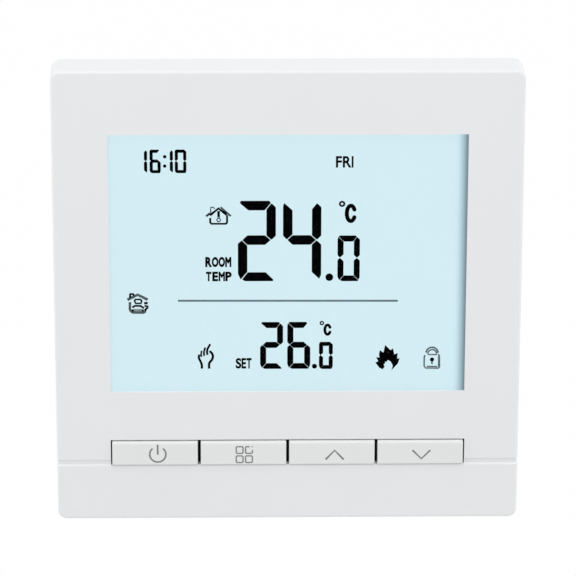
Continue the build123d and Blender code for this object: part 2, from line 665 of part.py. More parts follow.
def wall_slot(y, room=0.0):
    width, length = WALL_SLOT_WIDTH + 2 * room, WALL_SLOT_LENGTH + 2 * room
    outline = SlotOverall(length, width)
    return [extrude(Plane.XZ.offset(-y[1]) * Pos(*at) * outline, y[1] - y[0]) for at in WALL_SCREWS]


def mounting_plate():
    """Steel plate with the wall-box slots, screw countersinks and four bent tabs for the panel."""
    plate = sheet(2 * PLATE_HALF, 2 * PLATE_HALF, (PLATE_FRONT_Y, 0), PLATE_CORNER)
    for side in (-1, 1):
        tab_z = sorted((side * (PLATE_HALF - PLATE_THICKNESS), side * PLATE_HALF))
        for x in TAB_XS:
            plate += slab(about(x, TAB_WIDTH), (PLATE_FRONT_Y - TAB_REACH, 0), tab_z)
    cut = (PLATE_FRONT_Y - OVERCUT, OVERCUT)
    plate -= sheet(PLATE_OPENING_WIDTH, PLATE_OPENING_HEIGHT, cut, PLATE_OPENING_CORNER)
    for slot in wall_slot(cut):
        plate -= slot
    for at in BOX_SCREWS:
        plate -= screw_cone(at, BOX_SCREW_CLEARANCE)
    return plate


def screw_cone(at, room):
    """The countersunk head and shank of a box screw, or the hole for it."""
    head = Cone(
        BOX_SCREW_SHANK_RADIUS + room,
        BOX_SCREW_HEAD_RADIUS + room,
        PLATE_THICKNESS,
        align=(Align.CENTER, Align.CENTER, Align.MIN),
    )
    turned = Pos(at[0], 0, at[1]) * Rot(90, 0, 0) * head
    return turned + rod(BOX_SCREW_SHANK_RADIUS + room, (0, BOX_SCREW_LENGTH - PLATE_THICKNESS), at)


def box_screws():
    screws = []
    for at in BOX_SCREWS:
        slot_y = (PLATE_FRONT_Y - OVERCUT, PLATE_FRONT_Y + SCREW_SLOT_DEPTH)
        slot_z = about(at[1], 2 * BOX_SCREW_HEAD_RADIUS + OVERCUT)
        screws.append(screw_cone(at, 0.0) - slab(about(at[0], SCREW_SLOT_WIDTH), slot_y, slot_z))
    return group(screws)


def insulation_sheet():
    y = (PLATE_FRONT_Y - SHEET_THICKNESS, PLATE_FRONT_Y)
    width = 2 * (PLATE_HALF - SHEET_EDGE)
    height = width - 2 * PLATE_THICKNESS
    film = sheet(width, height, y, PLATE_CORNER)
    cut = (y[0] - OVERCUT, y[1] + OVERCUT)
    film -= sheet(PLATE_OPENING_WIDTH, PLATE_OPENING_HEIGHT, cut, PLATE_OPENING_CORNER)
    for slot in wall_slot(cut, WALL_SCREW_HEAD_ROOM):
        film -= slot
    for at in BOX_SCREWS:
        film -= rod(BOX_SCREW_HEAD_RADIUS + SEAL_CLEARANCE, cut, at)
    return film


# Relay box


def lug(at):
    """A screw lug that runs into the box's upper or lower wall."""
    x, z = at
    root = math.copysign(BOX_HEIGHT / 2 - BOX_WALL / 2, z)
    depth = (0, LUG_THICKNESS)
    ear = sheet(LUG_WIDTH, LUG_HEIGHT, depth, LUG_CORNER, at)
    return ear + slab(about(x, LUG_WIDTH), depth, sorted((z, root)))


def rear_box():
    outer = sheet(BOX_WIDTH, BOX_HEIGHT, (0, BOX_DEPTH), BOX_CORNER)
    outer = fillet(outer.faces().sort_by(Axis.Y)[-1].edges(), BOX_EDGE_RADIUS)
    inside = (BOX_WIDTH - 2 * BOX_WALL, BOX_HEIGHT - 2 * BOX_WALL)
    inner = sheet(*inside, (-OVERCUT, BOX_BACK_IN), BOX_CORNER - BOX_WALL)
    across = about(0, BOX_WIDTH + 2 * OVERCUT)
    below = -BOX_HEIGHT / 2 - OVERCUT
    outer -= slab(across, (LEDGE_DEPTH, BOX_DEPTH + OVERCUT), (below, LEDGE_TOP))
    ledge_y = (LEDGE_DEPTH - BOX_WALL, BOX_DEPTH + OVERCUT)
    box = outer - (inner - slab(across, ledge_y, (below, LEDGE_TOP + BOX_WALL)))
    for at in BOX_SCREWS:
        box += lug(at)
        box -= rod(BOX_SCREW_SHANK_RADIUS + LAP_CLEARANCE, (-OVERCUT, LUG_THICKNESS + OVERCUT), at)
    for side in (-1, 1):
        at = (side * POWER_BOSS_X, POWER_BOSS_Z)
        box += rod(POWER_BOSS_RADIUS, (POWER_BACK_Y, BOX_BACK_IN), at)
        pilot_y = (POWER_BACK_Y - OVERCUT, POWER_BACK_Y + SCREW_BITE + LAP_CLEARANCE)
        box -= rod(PILOT_RADIUS, pilot_y, at)
    room = 2 * TERMINAL_CLEARANCE
    gate = (POWER_BACK_Y, LEDGE_DEPTH + OVERCUT)
    terminal_z = (TERMINAL_BOTTOM - TERMINAL_CLEARANCE, TERMINAL_TOP + TERMINAL_CLEARANCE)
    box -= slab(about(0, TERMINAL_WIDTH + room), gate, terminal_z)
    for i in range(VENT_COUNT):
        z = (LEDGE_TOP + BOX_HEIGHT / 2) / 2 + (i - (VENT_COUNT - 1) / 2) * VENT_PITCH
        vent_y = (BOX_BACK_IN - OVERCUT, BOX_DEPTH + OVERCUT)
        box -= slab(about(0, VENT_LENGTH), vent_y, about(z, VENT_WIDTH))
    return box


def power_board():
    depth = (POWER_BOARD_Y, POWER_BACK_Y)
    board = sheet(2 * POWER_HALF_WIDTH, 2 * POWER_HALF_HEIGHT, depth, BOX_CORNER - BOX_WALL)
    cut = (POWER_BOARD_Y - OVERCUT, POWER_BACK_Y + OVERCUT)
    for side in (-1, 1):
        board -= rod(SCREW_HOLE_RADIUS, cut, (side * POWER_BOSS_X, POWER_BOSS_Z))
    for x in TERMINAL_XS:
        board -= rod(CLAMP_HOLE_RADIUS, cut, (x, CLAMP_Z))
    return board


def power_board_screws():
    sizes = (SCREW_HEAD_RADIUS, SCREW_HEAD_HEIGHT, SCREW_SHANK_RADIUS)
    tip = POWER_BACK_Y + SCREW_BITE
    places = [(side * POWER_BOSS_X, POWER_BOSS_Z) for side in (-1, 1)]
    return group(slotted_screw(*sizes, POWER_BOARD_Y, tip, at) for at in places)


# Screw terminals


def clamp_pin(x, room):
    half = about(x, CLAMP_PIN + 2 * room)
    y = (POWER_BOARD_Y - CLAMP_PIN_STICKOUT, WIRE_ENTRY_Y + CLAMP_WALL)
    return slab(half, y, about(CLAMP_Z, CLAMP_PIN + 2 * room))


def terminal_block():
    """Moulded block with a wire entry below and a screw well behind for each pole."""
    z = (TERMINAL_BOTTOM, TERMINAL_TOP)
    block = slab(about(0, TERMINAL_WIDTH), (POWER_BACK_Y, TERMINAL_BACK_Y), z)
    entry_y = (WIRE_ENTRY_Y, WIRE_ENTRY_Y + WIRE_ENTRY_DEPTH)
    entry_z = (TERMINAL_BOTTOM - OVERCUT, TERMINAL_BOTTOM + WIRE_ENTRY_LENGTH)
    well_y = (TERMINAL_BACK_Y - TERMINAL_WELL_DEPTH, TERMINAL_BACK_Y + OVERCUT)
    for x in TERMINAL_XS:
        block -= slab(about(x, WIRE_ENTRY_WIDTH), entry_y, entry_z)
        block -= rod(TERMINAL_WELL_RADIUS, well_y, (x, CLAMP_Z))
        shank_room = (WIRE_ENTRY_Y, TERMINAL_BACK_Y)
        block -= rod(TERMINAL_SCREW_RADIUS + CLAMP_CLEARANCE, shank_room, (x, CLAMP_Z))
        block -= clamp_pin(x, CLAMP_CLEARANCE)
    return block


def terminal_clamps():
    """A steel cage in each wire entry, with a solder pin through the power board."""
    clamps = []
    width = WIRE_ENTRY_WIDTH - 2 * CLAMP_CLEARANCE
    y = (WIRE_ENTRY_Y + CLAMP_CLEARANCE, WIRE_ENTRY_Y + WIRE_ENTRY_DEPTH - CLAMP_CLEARANCE)
    z = about(CLAMP_Z - CLAMP_CLEARANCE, CLAMP_LENGTH)
    for x in TERMINAL_XS:
        cage = slab(about(x, width), y, z)
        inside = (y[0] + CLAMP_WALL, y[1] - CLAMP_WALL)
        bore = slab(about(x, width - 2 * CLAMP_WALL), inside, (z[0] - OVERCUT, z[1] + OVERCUT))
        hole_y = (inside[1], y[1] + OVERCUT)
        screw_hole = rod(TERMINAL_SCREW_RADIUS + CLAMP_CLEARANCE, hole_y, (x, CLAMP_Z))
        clamps.append(cage + clamp_pin(x, 0.0) - bore - screw_hole)
    return group(clamps)


def terminal_screws():
    screws = []
    head_y = TERMINAL_BACK_Y - TERMINAL_WELL_DEPTH
    tip_y = WIRE_ENTRY_Y + WIRE_ENTRY_DEPTH / 2
    for x in TERMINAL_XS:
        sizes = (TERMINAL_HEAD_RADIUS, TERMINAL_HEAD_HEIGHT, TERMINAL_SCREW_RADIUS)
        screws.append(slotted_screw(*sizes, head_y, tip_y, (x, CLAMP_Z)))
    return group(screws)


# Parts on the power board


def board_block(size, back_gap, left, low, edge):
    """A moulded block from the back of the power board to near the box's back wall."""
    width, height = size
    y = (POWER_BACK_Y, BOX_BACK_IN - back_gap)
    block = sheet(width, height, y, edge, (left + width / 2, low + height / 2))
    return fillet(block.faces().sort_by(Axis.Y)[-1].edges(), edge / 2)


LOWER_ROW = LEDGE_TOP + BOX_WALL + PART_GAP  # lowest free height behind the power board
UPPER_ROW = LOWER_ROW + max(RELAY_SIZE[1], COIL_SIZE[1]) + PART_GAP
LEFT_EDGE = -POWER_HALF_WIDTH + PART_GAP
RIGHT_EDGE = POWER_HALF_WIDTH - PART_GAP


def relay():
    return board_block(RELAY_SIZE, RELAY_BACK_GAP, LEFT_EDGE, LOWER_ROW, RELAY_EDGE)


def transformer_place():
    return (RIGHT_EDGE - CORE_SIZE[0] / 2, LOWER_ROW + COIL_SIZE[1] / 2)


def transformer_core():
    """A closed ferrite ring lying around the coil."""
    width, height = CORE_SIZE
    at = transformer_place()
    block = sheet(width, height, (POWER_BACK_Y, BOX_BACK_IN - CORE_BACK_GAP), at=at)
    room_x = COIL_SIZE[0] + 2 * COIL_CLEARANCE
    room_y = (POWER_BACK_Y - OVERCUT, BOX_BACK_IN - CORE_BACK_GAP - CORE_BRIDGE)
    return block - slab(about(at[0], room_x), room_y, about(at[1], height + 2 * OVERCUT))


def transformer_coil():
    y = (POWER_BACK_Y, BOX_BACK_IN - CORE_BACK_GAP - CORE_BRIDGE - COIL_CLEARANCE)
    return sheet(*COIL_SIZE, y, COIL_CORNER, transformer_place())


def film_capacitor():
    return board_block(FILM_CAP_SIZE, FILM_CAP_BACK_GAP, LEFT_EDGE, UPPER_ROW, FILM_CAP_EDGE)


def smoothing_capacitors():
    cans = []
    left = LEFT_EDGE + FILM_CAP_SIZE[0] + PART_GAP
    for radius in SMOOTHING_RADII:
        at = (left + radius, UPPER_ROW + radius)
        can = rod(radius, (POWER_BACK_Y, BOX_BACK_IN - SMOOTHING_BACK_GAP), at)
        cans.append(fillet(can.faces().sort_by(Axis.Y)[-1].edges(), SMOOTHING_EDGE))
        left += 2 * radius + PART_GAP
    return group(cans)


def fuse():
    at = (RIGHT_EDGE - FUSE_RADIUS, UPPER_ROW + FUSE_RADIUS)
    can = rod(FUSE_RADIUS, (POWER_BACK_Y, POWER_BACK_Y + FUSE_HEIGHT), at)
    return fillet(can.faces().sort_by(Axis.Y)[-1].edges(), FUSE_EDGE)


def varistor():
    """A lacquered disc standing on edge, beside the film capacitor."""
    x = LEFT_EDGE + FILM_CAP_SIZE[0] / 2
    z = UPPER_ROW + FILM_CAP_SIZE[1] + PART_GAP + VARISTOR_THICKNESS / 2
    disc = Pos(x, POWER_BACK_Y + VARISTOR_RADIUS, z) * Cylinder(VARISTOR_RADIUS, VARISTOR_THICKNESS)
    return fillet(disc.edges().filter_by(GeomType.CIRCLE), VARISTOR_EDGE)


# Output


def pieces():
    """Every node of the thermostat by name."""
    made = {
        "front_cover": front_cover(),
        "lower_trim": lower_trim(),
        "display_lens": display_lens(),
        "lcd_front_polariser": polariser(FRONT_POLARISER_Y, WINDOW_BOTTOM - POLARISER_MARGIN),
        "lcd_front_glass": lcd_front_glass(),
        "lcd_rear_glass": lcd_rear_glass(),
        "lcd_rear_polariser": polariser(REAR_POLARISER_Y, REAR_GLASS_BOTTOM),
        "light_guide": light_guide(),
        "reflector_sheet": reflector_sheet(),
        "lcd_frame": lcd_frame(),
        "zebra_strip": zebra_strip(),
        "backlight_leds": backlight_leds(),
        "key_seal": key_seal(),
        "switch_bodies": switch_bodies(),
        "control_board": control_board(),
        "control_board_screws": control_board_screws(),
        "microcontroller": microcontroller(),
        "quartz_crystal": quartz_crystal(),
        "clock_cell": clock_cell(),
        "cell_clip": cell_clip(),
        "room_sensor": room_sensor(),
        "chip_resistors": chip_resistors(),
        "link_header": link_header(),
        "link_pins": link_pins(),
        "link_socket": link_socket(),
        "mounting_plate": mounting_plate(),
        "insulation_sheet": insulation_sheet(),
        "box_screws": box_screws(),
        "rear_box": rear_box(),
        "power_board": power_board(),
        "power_board_screws": power_board_screws(),
        "terminal_block": terminal_block(),
        "terminal_clamps": terminal_clamps(),
        "terminal_screws": terminal_screws(),
        "relay": relay(),
        "transformer_core": transformer_core(),
        "transformer_coil": transformer_coil(),
        "film_capacitor": film_capacitor(),
        "smoothing_capacitors": smoothing_capacitors(),
        "fuse": fuse(),
        "varistor": varistor(),
    }
    for name, x in zip(KEY_NAMES, KEY_XS):
        made[f"{name}_key"] = key_cap(x)
        made[f"{name}_plunger"] = plunger(x)
    return made


def main():
    os.makedirs("parts", exist_ok=True)
    for name, shape in pieces().items():
        export_step(shape, f"parts/{name}.step")
        print(name, len(shape.solids()), "solids", round(shape.volume, 1), "mm3")


main()
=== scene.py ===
# %% [markdown]
# # A flush wall thermostat
#
# The object is a white square panel with a large backlit display and four long keys, and behind it
# a steel plate and a relay box that sits in a wall box. The solid pieces come from the CAD frame.
# Loading it first gives every piece its true place, so what is added here is only finish and print:
# the display marks, the key marks, the printing on the back, the materials, the light and the camera.

# %% Load the frame
import math

import bmesh
import bpy
from mathutils import Matrix, Vector


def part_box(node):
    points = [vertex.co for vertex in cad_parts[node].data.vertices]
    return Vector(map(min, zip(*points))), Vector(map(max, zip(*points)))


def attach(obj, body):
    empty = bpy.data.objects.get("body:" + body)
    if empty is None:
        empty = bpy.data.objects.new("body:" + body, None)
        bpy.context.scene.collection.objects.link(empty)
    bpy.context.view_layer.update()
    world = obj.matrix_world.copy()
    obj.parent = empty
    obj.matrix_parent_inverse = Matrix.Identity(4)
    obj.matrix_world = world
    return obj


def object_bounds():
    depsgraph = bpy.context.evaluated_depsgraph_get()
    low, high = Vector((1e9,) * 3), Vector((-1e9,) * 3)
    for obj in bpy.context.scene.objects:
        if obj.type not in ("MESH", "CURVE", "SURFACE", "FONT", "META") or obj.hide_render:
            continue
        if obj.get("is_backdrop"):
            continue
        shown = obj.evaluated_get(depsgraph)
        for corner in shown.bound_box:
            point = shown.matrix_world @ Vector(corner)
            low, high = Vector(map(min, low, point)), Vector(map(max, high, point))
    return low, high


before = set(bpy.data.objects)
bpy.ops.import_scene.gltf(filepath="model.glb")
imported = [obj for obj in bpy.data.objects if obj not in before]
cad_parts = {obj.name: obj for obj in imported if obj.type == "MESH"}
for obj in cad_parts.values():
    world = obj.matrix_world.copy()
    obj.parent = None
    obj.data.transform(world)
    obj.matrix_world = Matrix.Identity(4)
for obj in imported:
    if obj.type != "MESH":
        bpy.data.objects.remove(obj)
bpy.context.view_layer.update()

MM = 0.001

# %% [markdown]
# ## The camera
#
# A product photo of a flat panel is taken from far away with a long lens, so that its edges stay
# nearly parallel. The view here comes from about 17 degrees above, which shows the top face as a
# thin bright band. The camera is built from three directions: to its right, up, and back towards
# the lens. Those three are the columns of its rotation, and a small roll turns the first two.

# %% Camera
AIM = Vector((0.0, -0.0093, 0.00213))
ELEVATION = 0.296402
AZIMUTH = -0.01997
ROLL = 0.002064
DISTANCE = 0.611363
FOCAL_LENGTH = 208.605
SENSOR_WIDTH = 36.0

back = Vector((
    math.sin(AZIMUTH) * math.cos(ELEVATION),
    -math.cos(AZIMUTH) * math.cos(ELEVATION),
    math.sin(ELEVATION),
))
right = Vector((math.cos(AZIMUTH), math.sin(AZIMUTH), 0.0))
up = back.cross(right)
rolled_right = math.cos(ROLL) * right + math.sin(ROLL) * up
rolled_up = math.cos(ROLL) * up - math.sin(ROLL) * right

lens = bpy.data.cameras.new("camera")
lens.lens = FOCAL_LENGTH
lens.sensor_width = SENSOR_WIDTH
lens.sensor_fit = "HORIZONTAL"
lens.clip_start = 0.01
camera = bpy.data.objects.new("camera", lens)
bpy.context.collection.objects.link(camera)
turn = Matrix((rolled_right, rolled_up, back)).transposed().to_4x4()
camera.matrix_world = Matrix.Translation(AIM + back * DISTANCE) @ turn
bpy.context.scene.camera = camera
print("camera stands at", [round(value, 3) for value in camera.matrix_world.translation])

# %% [markdown]
# ## Wires for the materials
#
# A material is a graph of nodes. Making each node by hand takes several lines, so a small class
# holds one socket and lets ordinary arithmetic add the Math nodes: `noise * 0.2 + 0.4` makes two of
# them. Any other node comes from the method `node`, which sets the node's own settings before its
# sockets, because some settings change which sockets there are.

# %% A socket that can be added and multiplied
class Wire:
    def __init__(self, tree, socket):
        self.tree = tree
        self.socket = socket

    def node(self, kind, settings, sockets, output=0):
        made = self.tree.nodes.new("ShaderNode" + kind)
        for name, value in settings.items():
            if name == "stops":
                set_stops(made.color_ramp, value)
            else:
                setattr(made, name, value)
        for name, value in sockets.items():
            if isinstance(value, Wire):
                self.tree.links.new(value.socket, made.inputs[name])
            else:
                made.inputs[name].default_value = value
        return Wire(self.tree, made.outputs[output])

    def maths(self, operation, first, second):
        return self.node("Math", {"operation": operation}, {0: first, 1: second})

    def __add__(self, other):
        return self.maths("ADD", self, other)

    def __radd__(self, other):
        return self.maths("ADD", other, self)

    def __sub__(self, other):
        return self.maths("SUBTRACT", self, other)

    def __rsub__(self, other):
        return self.maths("SUBTRACT", other, self)

    def __mul__(self, other):
        return self.maths("MULTIPLY", self, other)

    def __rmul__(self, other):
        return self.maths("MULTIPLY", other, self)

    def __truediv__(self, other):
        return self.maths("DIVIDE", self, other)

    def __rtruediv__(self, other):
        return self.maths("DIVIDE", other, self)

    def __pow__(self, other):
        return self.maths("POWER", self, other)

    def __rpow__(self, other):
        return self.maths("POWER", other, self)

    def __lt__(self, other):
        return self.maths("LESS_THAN", self, other)

    def __gt__(self, other):
        return self.maths("GREATER_THAN", self, other)

    def __abs__(self):
        return self.maths("ABSOLUTE", self, 0.0)


def set_stops(ramp, stops):
    while len(ramp.elements) < len(stops):
        ramp.elements.new(1.0)
    for element, (position, colour) in zip(ramp.elements, stops):
        element.position = position
        element.color = (*colour, 1.0)


print("operators:", len([name for name in vars(Wire) if name.startswith("__") and name != "__init__"]))

# %% [markdown]
# ## Small helpers for finishes
#
# Every finish starts in the same way: a Principled shader with one colour, and the Object coordinates
# of the piece, which are metres in the shared frame and do not slide when the piece moves. Colours
# are mixed with the Mix node, because a Math node would turn them grey. A size in millimetres is
# easier to judge than a texture scale, so `noise` takes the size of its grains.

# %% Helpers for finishes
def shade(colour, factor):
    return (*[min(1.0, value * factor) for value in colour[:3]], 1.0)


def blend(factor, first, second):
    return factor.node("Mix", {"data_type": "RGBA"}, {0: factor, 6: first, 7: second}, output=2)


def noise(place, size, detail=2.0):
    return place.node("TexNoise", {}, {"Vector": place, "Scale": 1.0 / size, "Detail": detail})


def axes(place):
    return [place.node("SeparateXYZ", {}, {"Vector": place}, output=index) for index in range(3)]


def new_finish(name, colour, roughness, metallic=0.0):
    material = bpy.data.materials.new(name)
    material.use_nodes = True
    shader = material.node_tree.nodes["Principled BSDF"]
    shader.inputs["Base Color"].default_value = shade(colour, 1.0)
    shader.inputs["Roughness"].default_value = roughness
    shader.inputs["Metallic"].default_value = metallic
    coordinates = material.node_tree.nodes.new("ShaderNodeTexCoord")
    return material, shader, Wire(material.node_tree, coordinates.outputs["Object"])


def feed(shader, socket, wire):
    wire.tree.links.new(wire.socket, shader.inputs[socket])


def raise_surface(shader, height, strength, distance):
    bump = {"Strength": strength, "Distance": distance, "Height": height}
    feed(shader, "Normal", height.node("Bump", {}, bump))


def wear(material, *names):
    for name in names:
        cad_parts[name].material_slots[0].material = material


print("nodes that need a finish:", len(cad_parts))

# %% [markdown]
# ## Moulded plastic
#
# The cover is injection moulded in white plastic with a very fine spark texture. Up close it is not
# one colour: the tone drifts a little over centimetres and the grain catches light over tenths of a
# millimetre. A wide noise mixes two tones, and a fine noise drives roughness and a shallow bump.
# The keys are a touch warmer and smoother, and the relay box behind has a deeper grain.

# %% White mouldings
DRIFT = 18 * MM
GRAIN_SPREAD = 0.16
GRAIN_HEIGHT = 0.01 * MM


def moulded(name, colour, roughness, grain=0.25 * MM, relief=0.15, mottle=0.012):
    material, shader, place = new_finish(name, colour, roughness)
    drift = noise(place, DRIFT)
    feed(shader, "Base Color", blend(drift, shade(colour, 1 - mottle), shade(colour, 1 + mottle)))
    fine = noise(place, grain, 1.0)
    feed(shader, "Roughness", fine * GRAIN_SPREAD + (roughness - GRAIN_SPREAD / 2))
    raise_surface(shader, fine, relief, GRAIN_HEIGHT)
    return material


wear(moulded("panel_white", (0.797, 0.805, 0.821), 0.52), "front_cover", "lower_trim")
key_plastic = moulded("key_grey", (0.765, 0.782, 0.774), 0.46)
wear(key_plastic, "power_key", "menu_key", "up_key", "down_key")
wear(moulded("box_white", (0.78, 0.78, 0.77), 0.5, relief=0.3), "rear_box")
wear(moulded("reflector_white", (0.86, 0.86, 0.86), 0.6), "reflector_sheet")
print("white mouldings:", [name for name in bpy.data.materials.keys() if "white" in name])

# %% [markdown]
# ## Coloured plastics and rubber
#
# The small parts inside are dark or coloured mouldings, and the same recipe serves them with a stronger
# drift in tone, because on a dark plastic a small change shows less. Rubber is the same again, rougher
# and with a coarser grain.

# %% Coloured plastics and rubber
wear(moulded("frame_black", (0.03, 0.03, 0.032), 0.5, mottle=0.1), "lcd_frame")
wear(moulded("terminal_green", (0.03, 0.26, 0.09), 0.42, mottle=0.06), "terminal_block")
wear(moulded("relay_black", (0.022, 0.022, 0.024), 0.4, mottle=0.12), "relay")
wear(moulded("film_yellow", (0.72, 0.5, 0.05), 0.38, mottle=0.05), "film_capacitor")
wear(moulded("fuse_brown", (0.12, 0.05, 0.025), 0.4, mottle=0.1), "fuse")
wear(moulded("header_black", (0.018, 0.018, 0.02), 0.48, mottle=0.1), "link_header", "link_socket")
wear(moulded("varistor_blue", (0.03, 0.1, 0.36), 0.34, mottle=0.08), "varistor")
wear(moulded("led_lens", (0.85, 0.8, 0.45), 0.25, mottle=0.05), "backlight_leds")
wear(moulded("sensor_bead", (0.05, 0.045, 0.04), 0.28, mottle=0.2), "room_sensor")
wear(moulded("ferrite", (0.045, 0.045, 0.048), 0.62, 0.5 * MM, 0.5, 0.15), "transformer_core")
switch_plastic = moulded("switch_black", (0.025, 0.025, 0.027), 0.5, mottle=0.1)
wear(switch_plastic, "switch_bodies", "power_plunger", "menu_plunger", "up_plunger", "down_plunger")
rubber = moulded("rubber_black", (0.035, 0.035, 0.036), 0.82, 0.4 * MM, 0.4, 0.15)
wear(rubber, "zebra_strip", "key_seal")
print("plastics so far:", len(bpy.data.materials))

# %% [markdown]
# ## Plated steel and brass
#
# The mounting plate is zinc plated: a bright base with faint crystal patches of slightly different tone.
# Clips and cans were stamped from rolled sheet, so their scratches run along one direction. A noise
# stretched along one axis gives those lines. Metal takes Metallic 1, and all its look then comes from
# the tint of the reflection and from how the roughness changes. A mask can darken part of it with
# painted shade, as in the slot of a screw.

# %% Metals
SCRATCH_WIDTH = 0.15 * MM
SCRATCH_SPREAD = 0.14
PATCH_SPREAD = 0.06
# how dark the painted shade on a screw's slot floor is
PAINTED_SLOT_SHADE = 0.28


def metal(name, colour, roughness, patch, stretch=(1.0, 1.0, 1.0), painted_shade=None):
    material, shader, place = new_finish(name, colour, roughness, 1.0)
    cells = place.node("TexVoronoi", {}, {"Vector": place, "Scale": 1.0 / patch}, output=1)
    tone = cells.node("SeparateXYZ", {}, {"Vector": cells})
    tint = blend(tone, shade(colour, 0.93), shade(colour, 1.06))
    # painted shade: the mask darkens a hollow such as a screw's slot floor, as shade would
    if painted_shade:
        tint = blend(painted_shade(place), tint, shade(colour, PAINTED_SLOT_SHADE))
    feed(shader, "Base Color", tint)
    lines = place.node("Mapping", {}, {"Vector": place, "Scale": stretch})
    scratch = noise(lines, SCRATCH_WIDTH, 3.0)
    smoothest = roughness - (SCRATCH_SPREAD + PATCH_SPREAD) / 2
    feed(shader, "Roughness", scratch * SCRATCH_SPREAD + tone * PATCH_SPREAD + smoothest)
    raise_surface(shader, scratch, 0.08, GRAIN_HEIGHT)
    return material


wear(metal("plate_steel", (0.6, 0.61, 0.63), 0.4, 3.5 * MM, (0.08, 1.0, 1.0)), "mounting_plate")
wear(metal("clamp_brass", (0.72, 0.52, 0.2), 0.32, 1.0 * MM), "terminal_clamps")
wear(metal("pin_gold", (0.83, 0.62, 0.24), 0.24, 0.6 * MM), "link_pins")
wear(metal("cell_steel", (0.68, 0.68, 0.69), 0.26, 2.0 * MM, (0.1, 1.0, 1.0)), "clock_cell")
wear(metal("clip_steel", (0.64, 0.64, 0.65), 0.3, 1.0 * MM, (1.0, 1.0, 0.1)), "cell_clip")
wear(metal("crystal_can", (0.74, 0.74, 0.75), 0.5, 1.0 * MM, (0.1, 1.0, 1.0)), "quartz_crystal")
print("metals:", [name for name in bpy.data.materials.keys() if "steel" in name])

# %% [markdown]
# ## Slotted screws
#
# The slot of a screw head is a real cut in the solid, but bright plating mirrors the white room from its
# floor just as it does from the head, so the slot would hardly show. So the slot floor gets painted
# shade, a darker colour that stands in for the shade a narrow slot holds. A mask finds it: surface that
# faces along the screw and lies a little deeper than the head's face. The depth of that face comes from
# the piece's own box.

# %% Slotted screws
SLOT_FLOOR = (0.3 * MM, 0.8 * MM)
FACING = 0.9


# mask for the painted shade on the slot floor of a screw
def slot_floor(name, outward):
    low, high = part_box(name)
    face = high[1] if outward > 0 else low[1]

    def mask(place):
        depth = (face - axes(place)[1]) * outward
        sunk = (depth > SLOT_FLOOR[0]) * (depth < SLOT_FLOOR[1])
        normal = Wire(place.tree, place.socket.node.outputs["Normal"])
        return sunk * (abs(axes(normal)[1]) > FACING)

    return mask


SCREWS = {"control_board_screws": 1, "power_board_screws": 1, "terminal_screws": 1, "box_screws": -1}
for name, outward in SCREWS.items():
    steel = metal(name + "_steel", (0.62, 0.62, 0.63), 0.34, 0.8 * MM, painted_shade=slot_floor(name, outward))
    wear(steel, name)
print("screw finishes:", len(SCREWS))

# %% [markdown]
# ## Circuit boards
#
# A circuit board shows its copper as paler lines under green lacquer. Cells of about 3 mm each pick a
# direction at random, and inside a cell narrow stripes run along X or along Z, so the lines turn corners
# as tracks do. Small tinned rings are the plated holes that join the two sides. The hole in each is not
# cut; its middle is painted dark, painted shade for the inside of the hole. They are the middles of
# another set of cells, and a flat texture is used for them, because in a solid one only the few cells
# centred on the surface would show.

# %% Circuit boards
TRACK_CELL = 3.2 * MM
TRACK_PITCH = 0.9 * MM
TRACK_SHARE = 0.36
BARE_SHARE = 0.22
TRACK_HEIGHT = 0.03 * MM
VIA_CELL = 4.2 * MM
VIA_RADIUS = 0.42 * MM
VIA_HOLE = 0.19 * MM
TIN = (0.66, 0.65, 0.62)


def board(name, lacquer, copper):
    material, shader, place = new_finish(name, lacquer, 0.35)
    across, _, upward = axes(place)
    squares = {"Vector": place, "Scale": 1.0 / TRACK_CELL}
    pick = place.node("TexVoronoi", {"distance": "CHEBYCHEV"}, squares, output=1)
    chance = pick.node("SeparateXYZ", {}, {"Vector": pick})
    upright = chance > 0.5
    path = across * upright + upward * (1.0 - upright)
    stripe = path.maths("FRACT", path / TRACK_PITCH, 0.0)
    track = (stripe < TRACK_SHARE) * (chance > BARE_SHARE)

    flat = place.node("Mapping", {}, {"Vector": place, "Rotation": (math.pi / 2, 0.0, 0.0)})
    spots = {"Vector": flat, "Scale": 1.0 / VIA_CELL}
    distance = flat.node("TexVoronoi", {"voronoi_dimensions": "2D"}, spots) * VIA_CELL
    # painted shade: the hole is not cut, its middle is only painted dark
    hole = distance < VIA_HOLE
    pad = (distance < VIA_RADIUS) - hole

    grain = noise(place, 0.3 * MM, 1.0)
    toned = blend(grain, shade(lacquer, 0.88), shade(lacquer, 1.12))
    wired = blend(track, toned, shade(copper, 1.0))
    tinned = blend(pad, wired, shade(TIN, 1.0))
    feed(shader, "Base Color", blend(hole, tinned, shade(lacquer, 0.15)))
    feed(shader, "Metallic", pad)
    feed(shader, "Roughness", grain * 0.1 + 0.28)
    raise_surface(shader, track.maths("MAXIMUM", track, pad) - hole, 0.3, TRACK_HEIGHT)
    return material


wear(board("board_green", (0.015, 0.13, 0.045), (0.04, 0.24, 0.08)), "control_board", "power_board")
print("plated holes are", 2 * VIA_RADIUS / MM, "mm across")

# %% [markdown]
# ## Chips with tinned ends
#
# A chip and its legs are one solid here, and so is a chip resistor with its two end caps. The plain
# body is dark moulding, and what reaches past it is tinned metal. The reach is the distance from the
# middle of the piece along one or two axes, so one comparison splits body and metal, and it also
# drives Metallic. The chip's first leg is marked by a small pale dot in a corner.

# %% Chips with tinned ends
CHIP_HALF = 5.02 * MM
RESISTOR_HALF = 0.48 * MM
DOT_RADIUS = 0.6 * MM
DOT_INSET = 2.4 * MM


